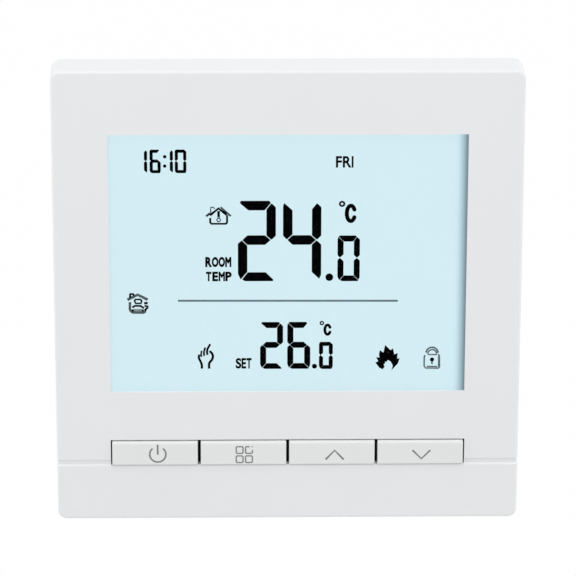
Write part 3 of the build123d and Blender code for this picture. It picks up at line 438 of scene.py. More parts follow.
def chip(name, colour, piece, body_half, directions, dot=None):
    low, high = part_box(piece)
    material, shader, place = new_finish(name, colour, 0.55)
    offsets = [abs(axes(place)[axis] - (low[axis] + high[axis]) / 2) for axis in directions]
    reach = offsets[0] if len(offsets) == 1 else place.maths("MAXIMUM", *offsets)
    end = reach > body_half
    fine = noise(place, 0.12 * MM, 1.0)
    body = blend(fine, shade(colour, 0.85), shade(colour, 1.15))
    if dot:
        spot = {0: place, 1: dot}
        away = place.node("VectorMath", {"operation": "DISTANCE"}, spot, output=1)
        body = blend(away < DOT_RADIUS, body, shade(colour, 4.0))
    feed(shader, "Base Color", blend(end, body, shade(TIN, 1.0)))
    feed(shader, "Metallic", end)
    feed(shader, "Roughness", fine * GRAIN_SPREAD + 0.44 - end * 0.16)
    raise_surface(shader, fine, 0.15, GRAIN_HEIGHT)
    return material


chip_low, chip_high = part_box("microcontroller")
first_leg = Vector((chip_low[0] + DOT_INSET, chip_high[1], chip_high[2] - DOT_INSET))
wear(chip("chip_black", (0.028, 0.028, 0.03), "microcontroller", CHIP_HALF, (0, 2), first_leg),
     "microcontroller")
wear(chip("resistor_ceramic", (0.05, 0.05, 0.055), "chip_resistors", RESISTOR_HALF, (0,)),
     "chip_resistors")
print("chip body is", 2 * CHIP_HALF / MM, "mm square")

# %% [markdown]
# ## Windings and sleeves
#
# The coil is wound in tape, so fine stripes run across it. The capacitor sleeves carry one pale band
# down the side as the sign of the minus lead. The insulating sheet has the faint ribs of pressed card.
# All three are one recipe: stripes along an axis, with the pitch and the share of the darker line.

# %% Windings and sleeves
WAVER = 0.1 * MM
STRIPE_SPREAD = 0.12
STRIPE_HEIGHT = 0.03 * MM


def striped(name, colour, second, pitch, share, roughness, axis):
    material, shader, place = new_finish(name, colour, roughness)
    path = axes(place)[axis] + noise(place, 6 * MM) * WAVER
    stripe = path.maths("FRACT", path / pitch, 0.0)
    line = stripe < share
    feed(shader, "Base Color", blend(line, shade(colour, 1.0), shade(second, 1.0)))
    feed(shader, "Roughness", noise(place, 0.4 * MM) * STRIPE_SPREAD + (roughness - STRIPE_SPREAD / 2))
    raise_surface(shader, line, 0.25, STRIPE_HEIGHT)
    return material


tape = striped("coil_tape", (0.72, 0.55, 0.1), (0.6, 0.44, 0.07), 1.6 * MM, 0.12, 0.3, 2)
wear(tape, "transformer_coil")
sleeve = striped("capacitor_sleeve", (0.02, 0.035, 0.1), (0.5, 0.52, 0.55), 8 * MM, 0.2, 0.35, 2)
wear(sleeve, "smoothing_capacitors")
card = striped("insulation_film", (0.05, 0.05, 0.052), (0.065, 0.065, 0.067), 0.5 * MM, 0.4, 0.6, 0)
wear(card, "insulation_sheet")
print("striped finishes:", tape.name, sleeve.name, card.name)

# %% [markdown]
# ## The display film
#
# The picture of the display is a backlit film. Light from lamps at the sides spreads in a clear guide,
# so the film glows almost evenly. A narrow dark strip of painted shade at the right edge of the window
# stands for the frame's shadow, and a hint of that painted shade lies at the left edge. The distance
# from each edge goes through a colour ramp, and the ramps scale both the glow and the film's own colour,
# so the shade is painted into the glow as well.

# %% Display film
WINDOW_HALF = 32.71 * MM
# painted shade: the frame's shadow as a dark strip at the right edge of the window, and a faint one at
# the left
RIGHT_SHADE_WIDTH = 2.4 * MM
RIGHT_SHADE_STOPS = [(0.0, (0.30, 0.31, 0.33)), (0.1, (0.37, 0.385, 0.41)), (0.26, (0.53, 0.585, 0.62)),
              (0.57, (0.835, 0.865, 0.91)), (0.72, (0.935, 0.96, 0.975)), (1.0, (1.0, 1.0, 1.0))]
LEFT_SHADE_WIDTH = 0.45 * MM
LEFT_SHADE_STOPS = [(0.0, (0.94, 0.945, 0.95)), (1.0, (1.0, 1.0, 1.0))]
PALE_BLUE = (0.659, 0.847, 0.905)
GLOW = 0.905
UNLIT_SHARE = 0.12


def times(first, second):
    return first.node("VectorMath", {"operation": "MULTIPLY"}, {0: first, 1: second})


film, film_shader, place = new_finish("lcd_film", PALE_BLUE, 0.4)
across = axes(place)[0]
# the painted shade grows darker towards each edge of the window
right_depth = (WINDOW_HALF - across) / RIGHT_SHADE_WIDTH
right_edge_shade = across.node("ValToRGB", {"stops": RIGHT_SHADE_STOPS}, {0: right_depth})
left_depth = (across + WINDOW_HALF) / LEFT_SHADE_WIDTH
left_edge_shade = across.node("ValToRGB", {"stops": LEFT_SHADE_STOPS}, {0: left_depth})
cloud = noise(place, 25 * MM)
tint = blend(cloud, shade(PALE_BLUE, 0.985), shade(PALE_BLUE, 1.015))
shaded = times(times(tint, right_edge_shade), left_edge_shade)
dimmed = shaded.node("VectorMath", {"operation": "SCALE"}, {0: shaded, "Scale": UNLIT_SHARE})
feed(film_shader, "Base Color", dimmed)
feed(film_shader, "Emission Color", shaded)
film_shader.inputs["Emission Strength"].default_value = GLOW
film_shader.inputs["Specular IOR Level"].default_value = 0.0
wear(film, "lcd_front_polariser", "lcd_rear_polariser")
print("display film falls off over", round(RIGHT_SHADE_WIDTH / MM, 2), "mm")

# %% [markdown]
# ## Lens, glass and light guide
#
# The clear pieces let the film show through and add only a reflection. A full glass shader would bend
# and darken what lies a millimetre behind it, so a Transparent and a Glossy shader are mixed instead.
# The share of gloss is small when seen straight on and grows at a flat angle, through Layer Weight.

# %% Lens, glass and light guide
def clear(name, tint, gloss_share, haze):
    material, _, place = new_finish(name, tint, haze)
    tree = material.node_tree
    facing = place.node("LayerWeight", {}, {"Blend": 0.5}, output=1)
    ripple = noise(place, 12 * MM)
    gloss = place.node("BsdfGlossy", {}, {"Roughness": ripple * 0.04 + haze})
    through = place.node("BsdfTransparent", {}, {"Color": shade(tint, 1.0)})
    share = facing ** 4.0 * 0.5 + gloss_share
    mixed = place.node("MixShader", {}, {0: share, 1: through, 2: gloss})
    tree.links.new(mixed.socket, tree.nodes["Material Output"].inputs["Surface"])
    return material


wear(clear("clear_lens", (0.995, 0.995, 0.995), 0.001, 0.06), "display_lens")
wear(clear("lcd_glass", (0.93, 0.96, 0.94), 0.03, 0.03), "lcd_front_glass", "lcd_rear_glass")
wear(clear("light_guide", (0.96, 0.97, 0.97), 0.03, 0.05), "light_guide")
print("materials on the frame:", len(bpy.data.materials))

# %% [markdown]
# ## Flat marks: filled outlines
#
# The dark marks of a liquid-crystal display are flat areas in the film, and the key marks are printed.
# Both are thin layers here, one to three hundredths of a millimetre proud. They are drawn in millimetres
# across and upwards, one unit proud, and pressed to their real height at the end. The first tool fills
# an outline: one face, its corners rounded by a vertex bevel, then extruded. `grow` moves an outline
# outwards by the same distance all round.

# %% Filled outlines
DISC_SIDES = 24


def begin():
    return bmesh.new()


def grow(outline, by):
    points = [Vector(point) for point in outline]
    following = points[1:] + points[:1]
    area = sum(here.cross(after) for here, after in zip(points, following))
    step = math.copysign(by, area)
    grown = []
    for before, here, after in zip(points[-1:] + points[:-1], points, following):
        coming = (here - before).normalized()
        going = (after - here).normalized()
        outward = Vector((coming.y + going.y, -coming.x - going.x))
        grown.append(here + outward * step / max(0.5, 1 + coming.dot(going)))
    return grown


def fill(mesh, outline, soft=0.0):
    others = set(mesh.faces)
    corners = [mesh.verts.new((x, 0.0, z)) for x, z in outline]
    mesh.faces.new(corners)
    if soft:
        bmesh.ops.bevel(mesh, geom=corners, offset=soft, segments=3, profile=0.5, affect="VERTICES",
                        clamp_overlap=True, material=-1)
    flat = [face for face in mesh.faces if face not in others]
    raised = bmesh.ops.extrude_face_region(mesh, geom=flat)["geom"]
    moved = [item for item in raised if isinstance(item, bmesh.types.BMVert)]
    bmesh.ops.translate(mesh, verts=moved, vec=(0.0, -1.0, 0.0))


def disc(mesh, x, z, radius):
    turns = [index * math.tau / DISC_SIDES for index in range(DISC_SIDES)]
    fill(mesh, [(x + radius * math.cos(angle), z + radius * math.sin(angle)) for angle in turns])


print("outline tools ready")

# %% [markdown]
# ## Flat marks: pen lines
#
# Most symbols are lines of one width. A curve with a round bevel is such a line, and once it is a mesh
# it is stretched until it stands one unit proud too, with its other half sunk. Each line is merged by
# itself, because merging a whole drawing would also weld lines that only touch. A letter may bring
# triangles whose three corners lie in a row, and turning their longest edge gives them an area. Corners
# stay sharp with vector handles, and rounded shapes use automatic handles that pass a smooth curve
# through the same points.

# %% Pen lines
SAME_POINT = 0.00002
NO_AREA = 1e-6
RING_POINTS = 8


def take(mesh, data):
    source = bpy.data.objects.new("pen", data)
    bpy.context.collection.objects.link(source)
    bpy.context.view_layer.update()
    drawn = bpy.data.meshes.new_from_object(source)
    before = set(mesh.verts)
    mesh.from_mesh(drawn)
    bpy.data.objects.remove(source)
    bpy.data.meshes.remove(drawn)
    added = [vert for vert in mesh.verts if vert not in before]
    bmesh.ops.remove_doubles(mesh, verts=added, dist=SAME_POINT)
    triangles = [face for face in mesh.faces if len(face.verts) == 3 and face.verts[0] not in before]
    slivers = [face for face in triangles if face.calc_area() < NO_AREA]
    longest = [max(face.edges, key=lambda edge: edge.calc_length()) for face in slivers]
    bmesh.ops.rotate_edges(mesh, edges=longest, use_ccw=False)
    return [vert for vert in mesh.verts if vert not in before]


def stroke(mesh, points, width, smooth=False, closed=False):
    curve = bpy.data.curves.new("pen", "CURVE")
    curve.dimensions = "3D"
    curve.bevel_depth = width / 2
    curve.bevel_resolution = 2
    curve.use_fill_caps = not closed
    spline = curve.splines.new("BEZIER")
    spline.bezier_points.add(len(points) - 1)
    spline.use_cyclic_u = closed
    spline.resolution_u = 6 if smooth else 1
    for knot, (x, z) in zip(spline.bezier_points, points):
        knot.co = (x, 0.0, z)
        knot.handle_left_type = "AUTO" if smooth else "VECTOR"
        knot.handle_right_type = knot.handle_left_type
    verts = take(mesh, curve)
    bmesh.ops.scale(mesh, verts=verts, vec=(1.0, 2.0 / width, 1.0))
    bpy.data.curves.remove(curve)


def arc(x, z, reach, first, last, count):
    turns = [math.radians(first + index * (last - first) / count) for index in range(count + 1)]
    return [(x + reach[0] * math.cos(angle), z + reach[1] * math.sin(angle)) for angle in turns]


def ring(mesh, x, z, radius, width):
    last = 360 - 360 / RING_POINTS
    stroke(mesh, arc(x, z, (radius, radius), 0, last, RING_POINTS - 1), width, True, True)


print("pen tools ready")

# %% [markdown]
# ## Flat marks: words
#
# A word is a text object in the plain built-in font. Its natural size depends on the letters, so the
# mesh is measured and then stretched to the box it has to fill. A bevel of the letter's edge makes it
# bolder evenly, where the text's own offset would blot the narrow corners of an M.

# %% Words
def word(mesh, text, left, right, low, high, weight=0.0):
    letters = bpy.data.curves.new("letters", "FONT")
    letters.body = text
    letters.extrude = 0.5
    letters.bevel_depth = weight
    letters.bevel_resolution = 0
    verts = take(mesh, letters)
    bmesh.ops.rotate(mesh, verts=verts, cent=(0, 0, 0), matrix=Matrix.Rotation(math.pi / 2, 3, "X"))
    start = Vector([min(vert.co[axis] for vert in verts) for axis in range(3)])
    end = Vector([max(vert.co[axis] for vert in verts) for axis in range(3)])
    bmesh.ops.translate(mesh, verts=verts, vec=-start)
    wide, deep, tall = (last - first for first, last in zip(start, end))
    size = ((right - left) / wide, 2.0 / deep, (high - low) / tall)
    bmesh.ops.scale(mesh, verts=verts, vec=size)
    bmesh.ops.translate(mesh, verts=verts, vec=(left, -1.0, low))
    bpy.data.curves.remove(letters)


print("word tool ready")

# %% [markdown]
# ## Settling a mark on its surface
#
# A finished drawing is pressed to its real height, moved onto the surface that carries it and turned
# into an object that rides on that surface's body. Its place is in its mesh, so the object itself stays
# at the origin as the solid pieces do. Inks are almost flat colours with a slow change in density, and
# without gloss, because they lie under the lens or soak into the key. Where two inks of the display
# overlap, the paler one is the thinner layer, so that the darker one always covers it.

# %% Settle and ink
def settle(mesh, name, surface, proud, body, material):
    bmesh.ops.recalc_face_normals(mesh, faces=mesh.faces)
    bmesh.ops.scale(mesh, verts=mesh.verts, vec=(MM, proud * MM, MM))
    bmesh.ops.translate(mesh, verts=mesh.verts, vec=(0.0, surface * MM, 0.0))
    data = bpy.data.meshes.new(name)
    mesh.to_mesh(data)
    mesh.free()
    data.materials.append(material)
    piece = bpy.data.objects.new(name, data)
    bpy.context.collection.objects.link(piece)
    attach(piece, body)
    print(name, "faces:", len(data.polygons))


def ink(name, colour, spread=0.1):
    material, shader, place = new_finish(name, colour, 0.5)
    tone = noise(place, 1.5 * MM)
    feed(shader, "Base Color", blend(tone, shade(colour, 1 - spread), shade(colour, 1 + spread)))
    shader.inputs["Specular IOR Level"].default_value = 0.0
    return material


FILM_FRONT = -7.7
BLACK_PROUD = 0.025
GREY_PROUD = 0.02
SEAT_PROUD = 0.015
black_ink = ink("display_black", (0.001, 0.0011, 0.0014), 0.3)
slate_ink = ink("display_slate", (0.035, 0.05, 0.056))
lock_ink = ink("display_grey", (0.13, 0.17, 0.18))
divider_ink = ink("display_divider", (0.15, 0.225, 0.25))


def show(mesh, name, material, proud=BLACK_PROUD):
    settle(mesh, name, FILM_FRONT, proud, "front_panel", material)


print("display inks:", [name for name in bpy.data.materials.keys() if name.startswith("display_")])

# %% [markdown]
# ## Seven-segment numbers
#
# Each numeral is built from seven bars with mitred ends and a hair gap between neighbours. The corners
# are measured in units of the stroke from the nearest side and from the top, middle or bottom, so that
# one set of outlines draws every size. The middle bar sits a little above half height.

# %% Bars of a numeral
MIDDLE = 0.513


def bars(width, height, thick):
    levels = {"top": height, "mid": MIDDLE * height, "low": 0.0}

    def left(across, level, upward):
        return (across * thick, levels[level] + upward * thick)

    def right(across, level, upward):
        return (width - across * thick, levels[level] + upward * thick)

    return {
        "top": [left(0.32, "top", 0), right(0.7, "top", 0), right(0.55, "top", -0.2),
                right(1.2, "top", -1), left(1.12, "top", -1), left(0.22, "top", -0.18)],
        "high_right": [right(0.43, "top", -0.3), right(0, "top", -0.72), right(0, "mid", 0.5),
                       right(0.45, "mid", 0.08), right(0.95, "mid", 0.53), right(0.95, "top", -0.95)],
        "low_right": [right(0.48, "mid", -0.09), right(0, "mid", -0.54), right(0, "low", 0.72),
                      right(0.18, "low", 0.27), right(0.96, "low", 1.02), right(0.96, "mid", -0.56)],
        "bottom": [left(0.47, "low", 0.17), left(1.07, "low", 0.94), right(1.1, "low", 0.94),
                   right(0.24, "low", 0.09), right(0.32, "low", 0), left(0.77, "low", 0)],
        "low_left": [left(0.37, "mid", -0.08), left(0.96, "mid", -0.65), left(0.96, "low", 1.05),
                     left(0.27, "low", 0.22), left(0, "low", 0.82), left(0, "mid", -0.44)],
        "high_left": [left(0.1, "top", -0.28), left(0.96, "top", -1.07), left(0.96, "mid", 0.65),
                      left(0.38, "mid", 0.11), left(0, "mid", 0.5), left(0, "top", -0.62)],
        "middle": [left(0.5, "mid", 0), left(1.02, "mid", 0.5), right(1.15, "mid", 0.5),
                   right(0.6, "mid", 0), right(1.15, "mid", -0.5), left(1.02, "mid", -0.5)],
    }


print("bars:", list(bars(1.0, 2.0, 0.2)))

# %% [markdown]
# ## Figures
#
# A figure is the list of the bars that are lit. The ink bleeds a little, so each bar is drawn in a
# slightly smaller numeral and then grown back, which narrows the hair gaps without changing the
# outside. The unit sign needs a letter C: an open oval pen line with round ends.

# %% Figures
LIT = {
    "0": ["top", "high_right", "low_right", "bottom", "low_left", "high_left"],
    "1": ["high_right", "low_right"],
    "2": ["top", "high_right", "middle", "low_left", "bottom"],
    "4": ["high_left", "middle", "high_right", "low_right"],
    "6": ["top", "high_left", "middle", "low_left", "low_right", "bottom"],
}
CORNER = 0.07
OPENING = 30


def numeral(mesh, figure, left, right, low, high, thick, bleed):
    shapes = bars(right - left - 2 * bleed, high - low - 2 * bleed, thick - 2 * bleed)
    for name in LIT[figure]:
        bar = [(left + bleed + x, low + bleed + z) for x, z in shapes[name]]
        fill(mesh, grow(bar, bleed), CORNER * thick)


def letter_c(mesh, left, right, low, high, width):
    wide = (right - left - width) / (1 + math.cos(math.radians(OPENING)))
    tall = (high - low - width) / 2
    path = arc(left + width / 2 + wide, (low + high) / 2, (wide, tall), OPENING, 360 - OPENING, 16)
    stroke(mesh, path, width, True)
    for x, z in (path[0], path[-1]):
        disc(mesh, x, z, width / 2)


print("figures:", sorted(LIT))

# %% [markdown]
# ## Clock
#
# The time stands in the upper left corner in small figures with a colon of two dots. The four figures
# share one height and one stroke, so those are named once and only their sides are given.

# %% Clock
clock = begin()
for figure, left, right in (("1", -27.61, -25.57), ("6", -25.14, -23.12),
                            ("1", -22.93, -20.89), ("0", -20.57, -18.46)):
    numeral(clock, figure, left, right, low=23.54, high=27.96, thick=0.61, bleed=0.045)
disc(clock, -22.38, 26.63, 0.32)
disc(clock, -22.4, 24.87, 0.32)
show(clock, "display_clock", black_ink)

# %% [markdown]
# ## Room value and set value
#
# The room temperature is the largest thing on the display: two tall figures, a point, a shorter figure
# and the unit above it. The temperature that is wanted stands below in the same arrangement at about
# three fifths of the size.

# %% Room value and set value
room = begin()
numeral(room, "2", -9.16, -2.21, 2.98, 18.27, thick=1.8, bleed=0.065)
numeral(room, "4", -0.9, 6.1, 2.98, 18.27, thick=1.8, bleed=0.065)
disc(room, 7.61, 3.69, 0.72)
numeral(room, "0", 9.09, 13.18, 2.92, 11.64, thick=1.15, bleed=0.056)
ring(room, 9.87, 17.64, 0.4, 0.36)
letter_c(room, 10.36, 12.5, 14.0, 17.67, 0.76)
show(room, "display_room_value", black_ink)

wanted = begin()
numeral(wanted, "2", -5.1, -0.86, -13.98, -4.9, thick=1.16, bleed=0.055)
numeral(wanted, "6", -0.08, 4.17, -13.98, -4.9, thick=1.16, bleed=0.055)
disc(wanted, 4.96, -13.5, 0.47)
numeral(wanted, "0", 5.78, 8.34, -14.04, -8.78, thick=0.79, bleed=0.052)
ring(wanted, 6.29, -5.15, 0.29, 0.26)
letter_c(wanted, 6.58, 8.05, -7.6, -5.25, 0.53)
show(wanted, "display_set_value", black_ink)

# %% [markdown]
# ## Words and the dividing line
#
# Short words name what a value means, and a thin line divides what the room has from what is wanted.
# They are set letter by letter, because display letters are nearly all as wide as each other and stand
# closer than the font would put them.

# %% Words and the dividing line
def spaced(mesh, letters, low, high, weight):
    for letter, left, right in letters:
        word(mesh, letter, left, right, low, high, weight)


words = begin()
spaced(words, [("F", 8.69, 9.79), ("R", 9.95, 11.53), ("I", 11.55, 11.89)], 24.49, 26.64, 0.028)
spaced(words, [("R", -15.14, -13.87), ("O", -13.94, -12.72), ("O", -12.7, -11.53),
               ("M", -11.49, -10.36)], 5.7, 7.64, 0.06)
spaced(words, [("T", -15.02, -14.02), ("E", -13.86, -12.79), ("M", -12.7, -11.54),
               ("P", -11.47, -10.31)], 2.99, 4.82, 0.05)
spaced(words, [("S", -9.61, -8.57), ("E", -8.53, -7.69), ("T", -7.62, -6.67)], -13.9, -11.86, 0.04)
show(words, "display_words", black_ink)

line = begin()
stroke(line, [(-20.2, -0.73), (20.25, -0.89)], 0.38)
show(line, "display_divider", divider_ink, GREY_PROUD)

# %% [markdown]
# ## Room symbol
#
# A small house with a thermometer stands for the room temperature. The heavy lines are drawn in black.
# The finer second roof line, the chimney and the thermometer's bulb are a paler ink, because lines
# that thin never go fully dark on a display.

# %% Room symbol
house = begin()
stroke(house, [(-14.24, 15.55), (-12.68, 16.85), (-11.19, 15.64)], 0.46)
stroke(house, [(-14.19, 15.05), (-14.18, 14.2), (-14.0, 13.95), (-11.33, 13.94), (-11.12, 14.19),
               (-11.11, 15.6)], 0.39)
stroke(house, [(-12.66, 16.36), (-12.65, 15.24)], 0.47)
show(house, "display_room_symbol", black_ink)

eaves = begin()
stroke(eaves, [(-12.3, 17.1), (-10.43, 15.39)], 0.34)
stroke(eaves, [(-14.93, 15.37), (-14.2, 15.95)], 0.42)
stroke(eaves, [(-14.1, 15.98), (-14.08, 17.04), (-13.68, 17.11), (-13.35, 16.82)], 0.23)
ring(eaves, -12.65, 14.66, 0.32, 0.2)
stroke(eaves, [(-12.76, 15.3), (-12.82, 14.9)], 0.18)
stroke(eaves, [(-12.54, 15.3), (-12.48, 14.9)], 0.18)
show(eaves, "display_room_outline", slate_ink, GREY_PROUD)

# %% [markdown]
# ## At-home symbol
#
# At the left edge a figure sits under a roof, the sign that someone is at home. The roof, the tray below
# and the seat are grey lines. The figure with its shoulders is black, as are the chimney, the small bar
# and bent line at the right and the two ends of the seat.

# %% At-home symbol
home_ink = ink("display_home", (0.1, 0.128, 0.132))
seat_ink = ink("display_seat", (0.25, 0.32, 0.32))

home = begin()
stroke(home, [(-29.47, -0.51), (-27.58, 0.46), (-25.76, -0.49)], 0.54)
stroke(home, [(-29.0, -0.95), (-29.04, -2.3), (-28.87, -2.7), (-28.5, -2.97), (-26.55, -2.99),
              (-26.15, -2.75)], 0.5)
show(home, "display_home_outline", home_ink, GREY_PROUD)

seat = begin()
stroke(seat, [(-28.4, -2.5), (-26.78, -2.51)], 0.46)
show(seat, "display_home_seat", seat_ink, SEAT_PROUD)

guest = begin()
stroke(guest, [(-28.96, -0.14), (-28.95, 0.57), (-28.47, 0.62), (-28.23, 0.23)], 0.44)
stroke(guest, [(-26.41, -1.18), (-25.75, -1.14)], 0.47)
stroke(guest, [(-26.34, -1.68), (-25.78, -1.78), (-25.81, -2.08), (-26.2, -2.4), (-26.14, -2.74)], 0.43)
stroke(guest, [(-28.03, -0.45), (-27.09, -0.45), (-26.84, -0.72), (-27.0, -1.2), (-27.94, -1.22),
               (-28.17, -0.72)], 0.36, False, True)
stroke(guest, [(-28.6, -2.0), (-28.12, -1.68), (-27.1, -1.69), (-26.45, -2.13)], 0.4)
disc(guest, -28.53, -2.57, 0.22)
disc(guest, -26.66, -2.56, 0.22)
show(guest, "display_home_symbol", black_ink)

# %% [markdown]
# ## Hand symbol
#
# A raised hand says that the wanted value was set by hand and not by the timer. It is five open lines:
# the two sides of the wrist, which run up into the thumb and the outer finger, and three short lines
# between the fingers. All of them are smooth curves.

# %% Hand symbol
hand = begin()
stroke(hand, [(-15.87, -13.9), (-15.88, -13.16), (-16.08, -12.55), (-16.32, -12.06), (-16.42, -11.62),
              (-16.3, -11.14)], 0.44, True)
stroke(hand, [(-15.95, -11.62), (-15.98, -11.05), (-15.9, -10.4)], 0.33, True)
stroke(hand, [(-15.42, -11.44), (-15.46, -10.66), (-15.22, -9.77)], 0.36, True)
stroke(hand, [(-14.83, -11.23), (-14.88, -10.36), (-14.3, -9.13)], 0.41, True)
stroke(hand, [(-14.45, -10.46), (-14.02, -10.9), (-13.82, -11.52), (-14.05, -12.24), (-14.45, -12.73),
              (-14.54, -13.24), (-14.51, -13.9)], 0.45, True)
show(hand, "display_hand_symbol", black_ink)

# %% [markdown]
# ## Flame and lock symbols
#
# A solid flame shows that the heating is on: one filled outline of tongues with a bay at the bottom.
# Beside it a padlock in fine grey lines shows that the keys are locked, with a dark keyhole.

# %% Flame and lock symbols
flame = begin()
fill(flame, [
    (18.0, -9.42), (18.98, -10.42), (19.48, -10.12), (19.72, -11.28), (20.36, -10.98), (20.24, -12.12),
    (20.72, -12.0), (20.4, -13.04), (19.22, -14.36), (19.46, -13.45), (19.03, -12.6), (18.83, -12.52),
    (18.48, -12.34), (18.35, -12.72), (18.02, -12.64), (18.08, -12.94), (17.76, -13.23), (17.96, -13.62),
    (17.58, -14.17), (16.93, -13.82), (16.22, -12.82), (16.76, -12.62), (16.34, -11.76), (16.94, -11.9),
    (16.88, -11.14), (17.06, -10.44), (17.7, -10.9),
])
show(flame, "display_flame_symbol", black_ink)

lock = begin()
stroke(lock, [(25.46, -11.45), (25.26, -11.72), (25.27, -13.58), (25.56, -13.95), (27.9, -13.98),
              (28.1, -13.75), (28.05, -11.62), (27.86, -11.25)], 0.31)
stroke(lock, [(28.0, -11.62), (28.05, -13.7)], 0.42)
stroke(lock, [(25.55, -10.94), (25.89, -10.28), (26.71, -9.93), (27.52, -10.31), (27.85, -10.97)],
       0.34, True)
stroke(lock, [(25.87, -11.17), (26.15, -10.62), (26.72, -10.38), (27.29, -10.62), (27.61, -11.2)],
       0.29, True)
stroke(lock, [(25.91, -11.33), (27.59, -11.34)], 0.26)
stroke(lock, [(25.76, -13.63), (27.73, -13.66)], 0.26)
stroke(lock, [(26.72, -12.5), (26.71, -13.21)], 0.3)
show(lock, "display_lock_outline", lock_ink, GREY_PROUD)

keyhole = begin()
disc(keyhole, 26.71, -12.3, 0.4)
show(keyhole, "display_lock_symbol", black_ink)

# %% [markdown]
# ## Power and menu marks
#
# The keys carry thin grey prints. Each is a piece of its own and rides on its key's body, so that it
# moves in when the key is pressed. The power sign is an open ring with an upright line through the gap,
# and the menu is four squares with cut corners, one of them open at a corner that a dot fills.

# %% Power and menu marks
KEY_FRONT = -9.75
KEY_PROUD = 0.012
LINE = 0.36
RING_LINE = 0.33
FINE_LINE = 0.28
SQUARE = (0.63, 0.655)
CUT = 0.16
key_ink = ink("key_ink", (0.24, 0.245, 0.25))


def print_key(mesh, key):
    settle(mesh, key + "_mark", KEY_FRONT, KEY_PROUD, key + "_button", key_ink)


def square(mesh, x, z, opened):
    wide, tall = SQUARE
    path = [(wide - CUT, tall), (CUT - wide, tall), (-wide, tall - CUT), (-wide, CUT - tall),
            (CUT - wide, -tall), (wide - CUT, -tall), (wide, CUT - tall), (wide, tall - CUT)]
    if opened:
        path = [(0.1, tall)] + path[1:7] + [(wide, 0.0)]
    stroke(mesh, [(x + across, z + upward) for across, upward in path], FINE_LINE, False, not opened)


power = begin()
stroke(power, arc(-24.13, -29.95, (1.5, 1.5), 130, 410, 14), RING_LINE, True)
stroke(power, [(-24.14, -28.03), (-24.14, -29.98)], RING_LINE)
print_key(power, "power")

menu = begin()
for x in (-8.93, -7.2):
    for z in (-29.17, -30.98):
        square(menu, x, z, opened=x > -8 and z > -30)
disc(menu, -6.6, -28.54, 0.13)
print_key(menu, "menu")

# %% [markdown]
# ## Arrow marks
#
# The other two keys raise and lower the wanted value. Each arrow is one bent line, open at the base.

# %% Arrow marks
arrow_up = begin()
stroke(arrow_up, [(7.06, -31.1), (8.72, -29.33), (10.4, -31.11)], LINE)
print_key(arrow_up, "up")

arrow_down = begin()
stroke(arrow_down, [(23.2, -29.35), (24.88, -31.03), (26.52, -29.36)], LINE)
print_key(arrow_down, "down")

# %% [markdown]
# ## Terminal numbers
#
# On the back an installer needs to know which screw is which, so the block carries the numerals 1 to 8
# below its screws. They face the other way, so the set is drawn as if seen from the front and then
# turned half a turn about the upright axis. Each numeral stands a tenth of a millimetre proud.

# %% Terminal numbers
BLOCK_BACK = 21.0
TERMINALS = 8
TERMINAL_PITCH = 5.0
NUMBER_LOW = -26.6
NUMBER_HIGH = -25.0
NUMBER_PROUD = 0.1
white_ink = ink("number_white", (0.75, 0.75, 0.74), 0.04)

numbers = begin()
for index in range(TERMINALS):
    middle = TERMINAL_PITCH * (index - (TERMINALS - 1) / 2)
    half = 0.22 if index == 0 else 0.55
    word(numbers, str(index + 1), middle - half, middle + half, NUMBER_LOW, NUMBER_HIGH)
half_turn = Matrix.Rotation(math.pi, 3, "Z")
bmesh.ops.rotate(numbers, verts=numbers.verts, cent=(0, 0, 0), matrix=half_turn)
settle(numbers, "terminal_numbers", BLOCK_BACK, NUMBER_PROUD, "base", white_ink)

# %% [markdown]
# ## Printing on the control board
#
# With the panel pulled off, the back of its board shows. Boards carry white print that says where each
# part sits: corners round the chip, brackets by the resistors, two arcs and a plus sign for the clock
# cell, and frames for the crystal and the plug. The places come from the boxes of the parts, so the
# print follows them.

# %% Printing on the control board
BOARD_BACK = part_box("control_board")[1][1] / MM
PRINT_LINE = 0.22
PRINT_GAP = 0.6
PRINT_PROUD = 0.02
CORNER_LENGTH = 2.0
CRYSTAL_OPENING = 1.6
RESISTORS = 8
RESISTOR_END = 0.8
BRACKET_HALF = 0.5


def around(name, gap=PRINT_GAP):
    low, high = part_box(name)
    return low[0] / MM - gap, high[0] / MM + gap, low[2] / MM - gap, high[2] / MM + gap


marking = begin()
left, right, low, high = around("microcontroller")
for x, across in ((left, CORNER_LENGTH), (right, -CORNER_LENGTH)):
    for z, upward in ((low, CORNER_LENGTH), (high, -CORNER_LENGTH)):
        stroke(marking, [(x + across, z), (x, z), (x, z + upward)], PRINT_LINE)
left, right, low, high = around("quartz_crystal")
foot = low + CRYSTAL_OPENING
stroke(marking, [(left, foot), (left, high), (right, high), (right, foot)], PRINT_LINE)
left, right, low, high = around("link_header")
stroke(marking, [(left, low), (right, low), (right, high), (left, high)], PRINT_LINE, False, True)

left, right, low, high = around("clock_cell", 0.7)
cell_x, cell_z, radius = (left + right) / 2, (low + high) / 2, (right - left) / 2
stroke(marking, arc(cell_x, cell_z, (radius, radius), 40, 140, 12), PRINT_LINE, True)
stroke(marking, arc(cell_x, cell_z, (radius, radius), 220, 320, 12), PRINT_LINE, True)
stroke(marking, [(right + 0.4, high - 1.0), (right + 2.0, high - 1.0)], PRINT_LINE)
stroke(marking, [(right + 1.2, high - 1.8), (right + 1.2, high - 0.2)], PRINT_LINE)

left, right, low, high = around("chip_resistors", 0.4)
step = (high - low - 2 * RESISTOR_END) / (RESISTORS - 1)
for index in range(RESISTORS):
    z = low + RESISTOR_END + index * step
    for x in (left, right):
        stroke(marking, [(x, z - BRACKET_HALF), (x, z + BRACKET_HALF)], PRINT_LINE)
settle(marking, "board_marking", BOARD_BACK, PRINT_PROUD, "front_panel", white_ink)

# %% [markdown]
# ## The world
#
# The photo is a cut-out on white with an even, bright light. A pale world gives the even part of it.
# Rays that go to the camera, to mirrors or through glass see plain white instead, so that the
# background is white without pouring more light on the object.

# %% World
AMBIENT = 0.725


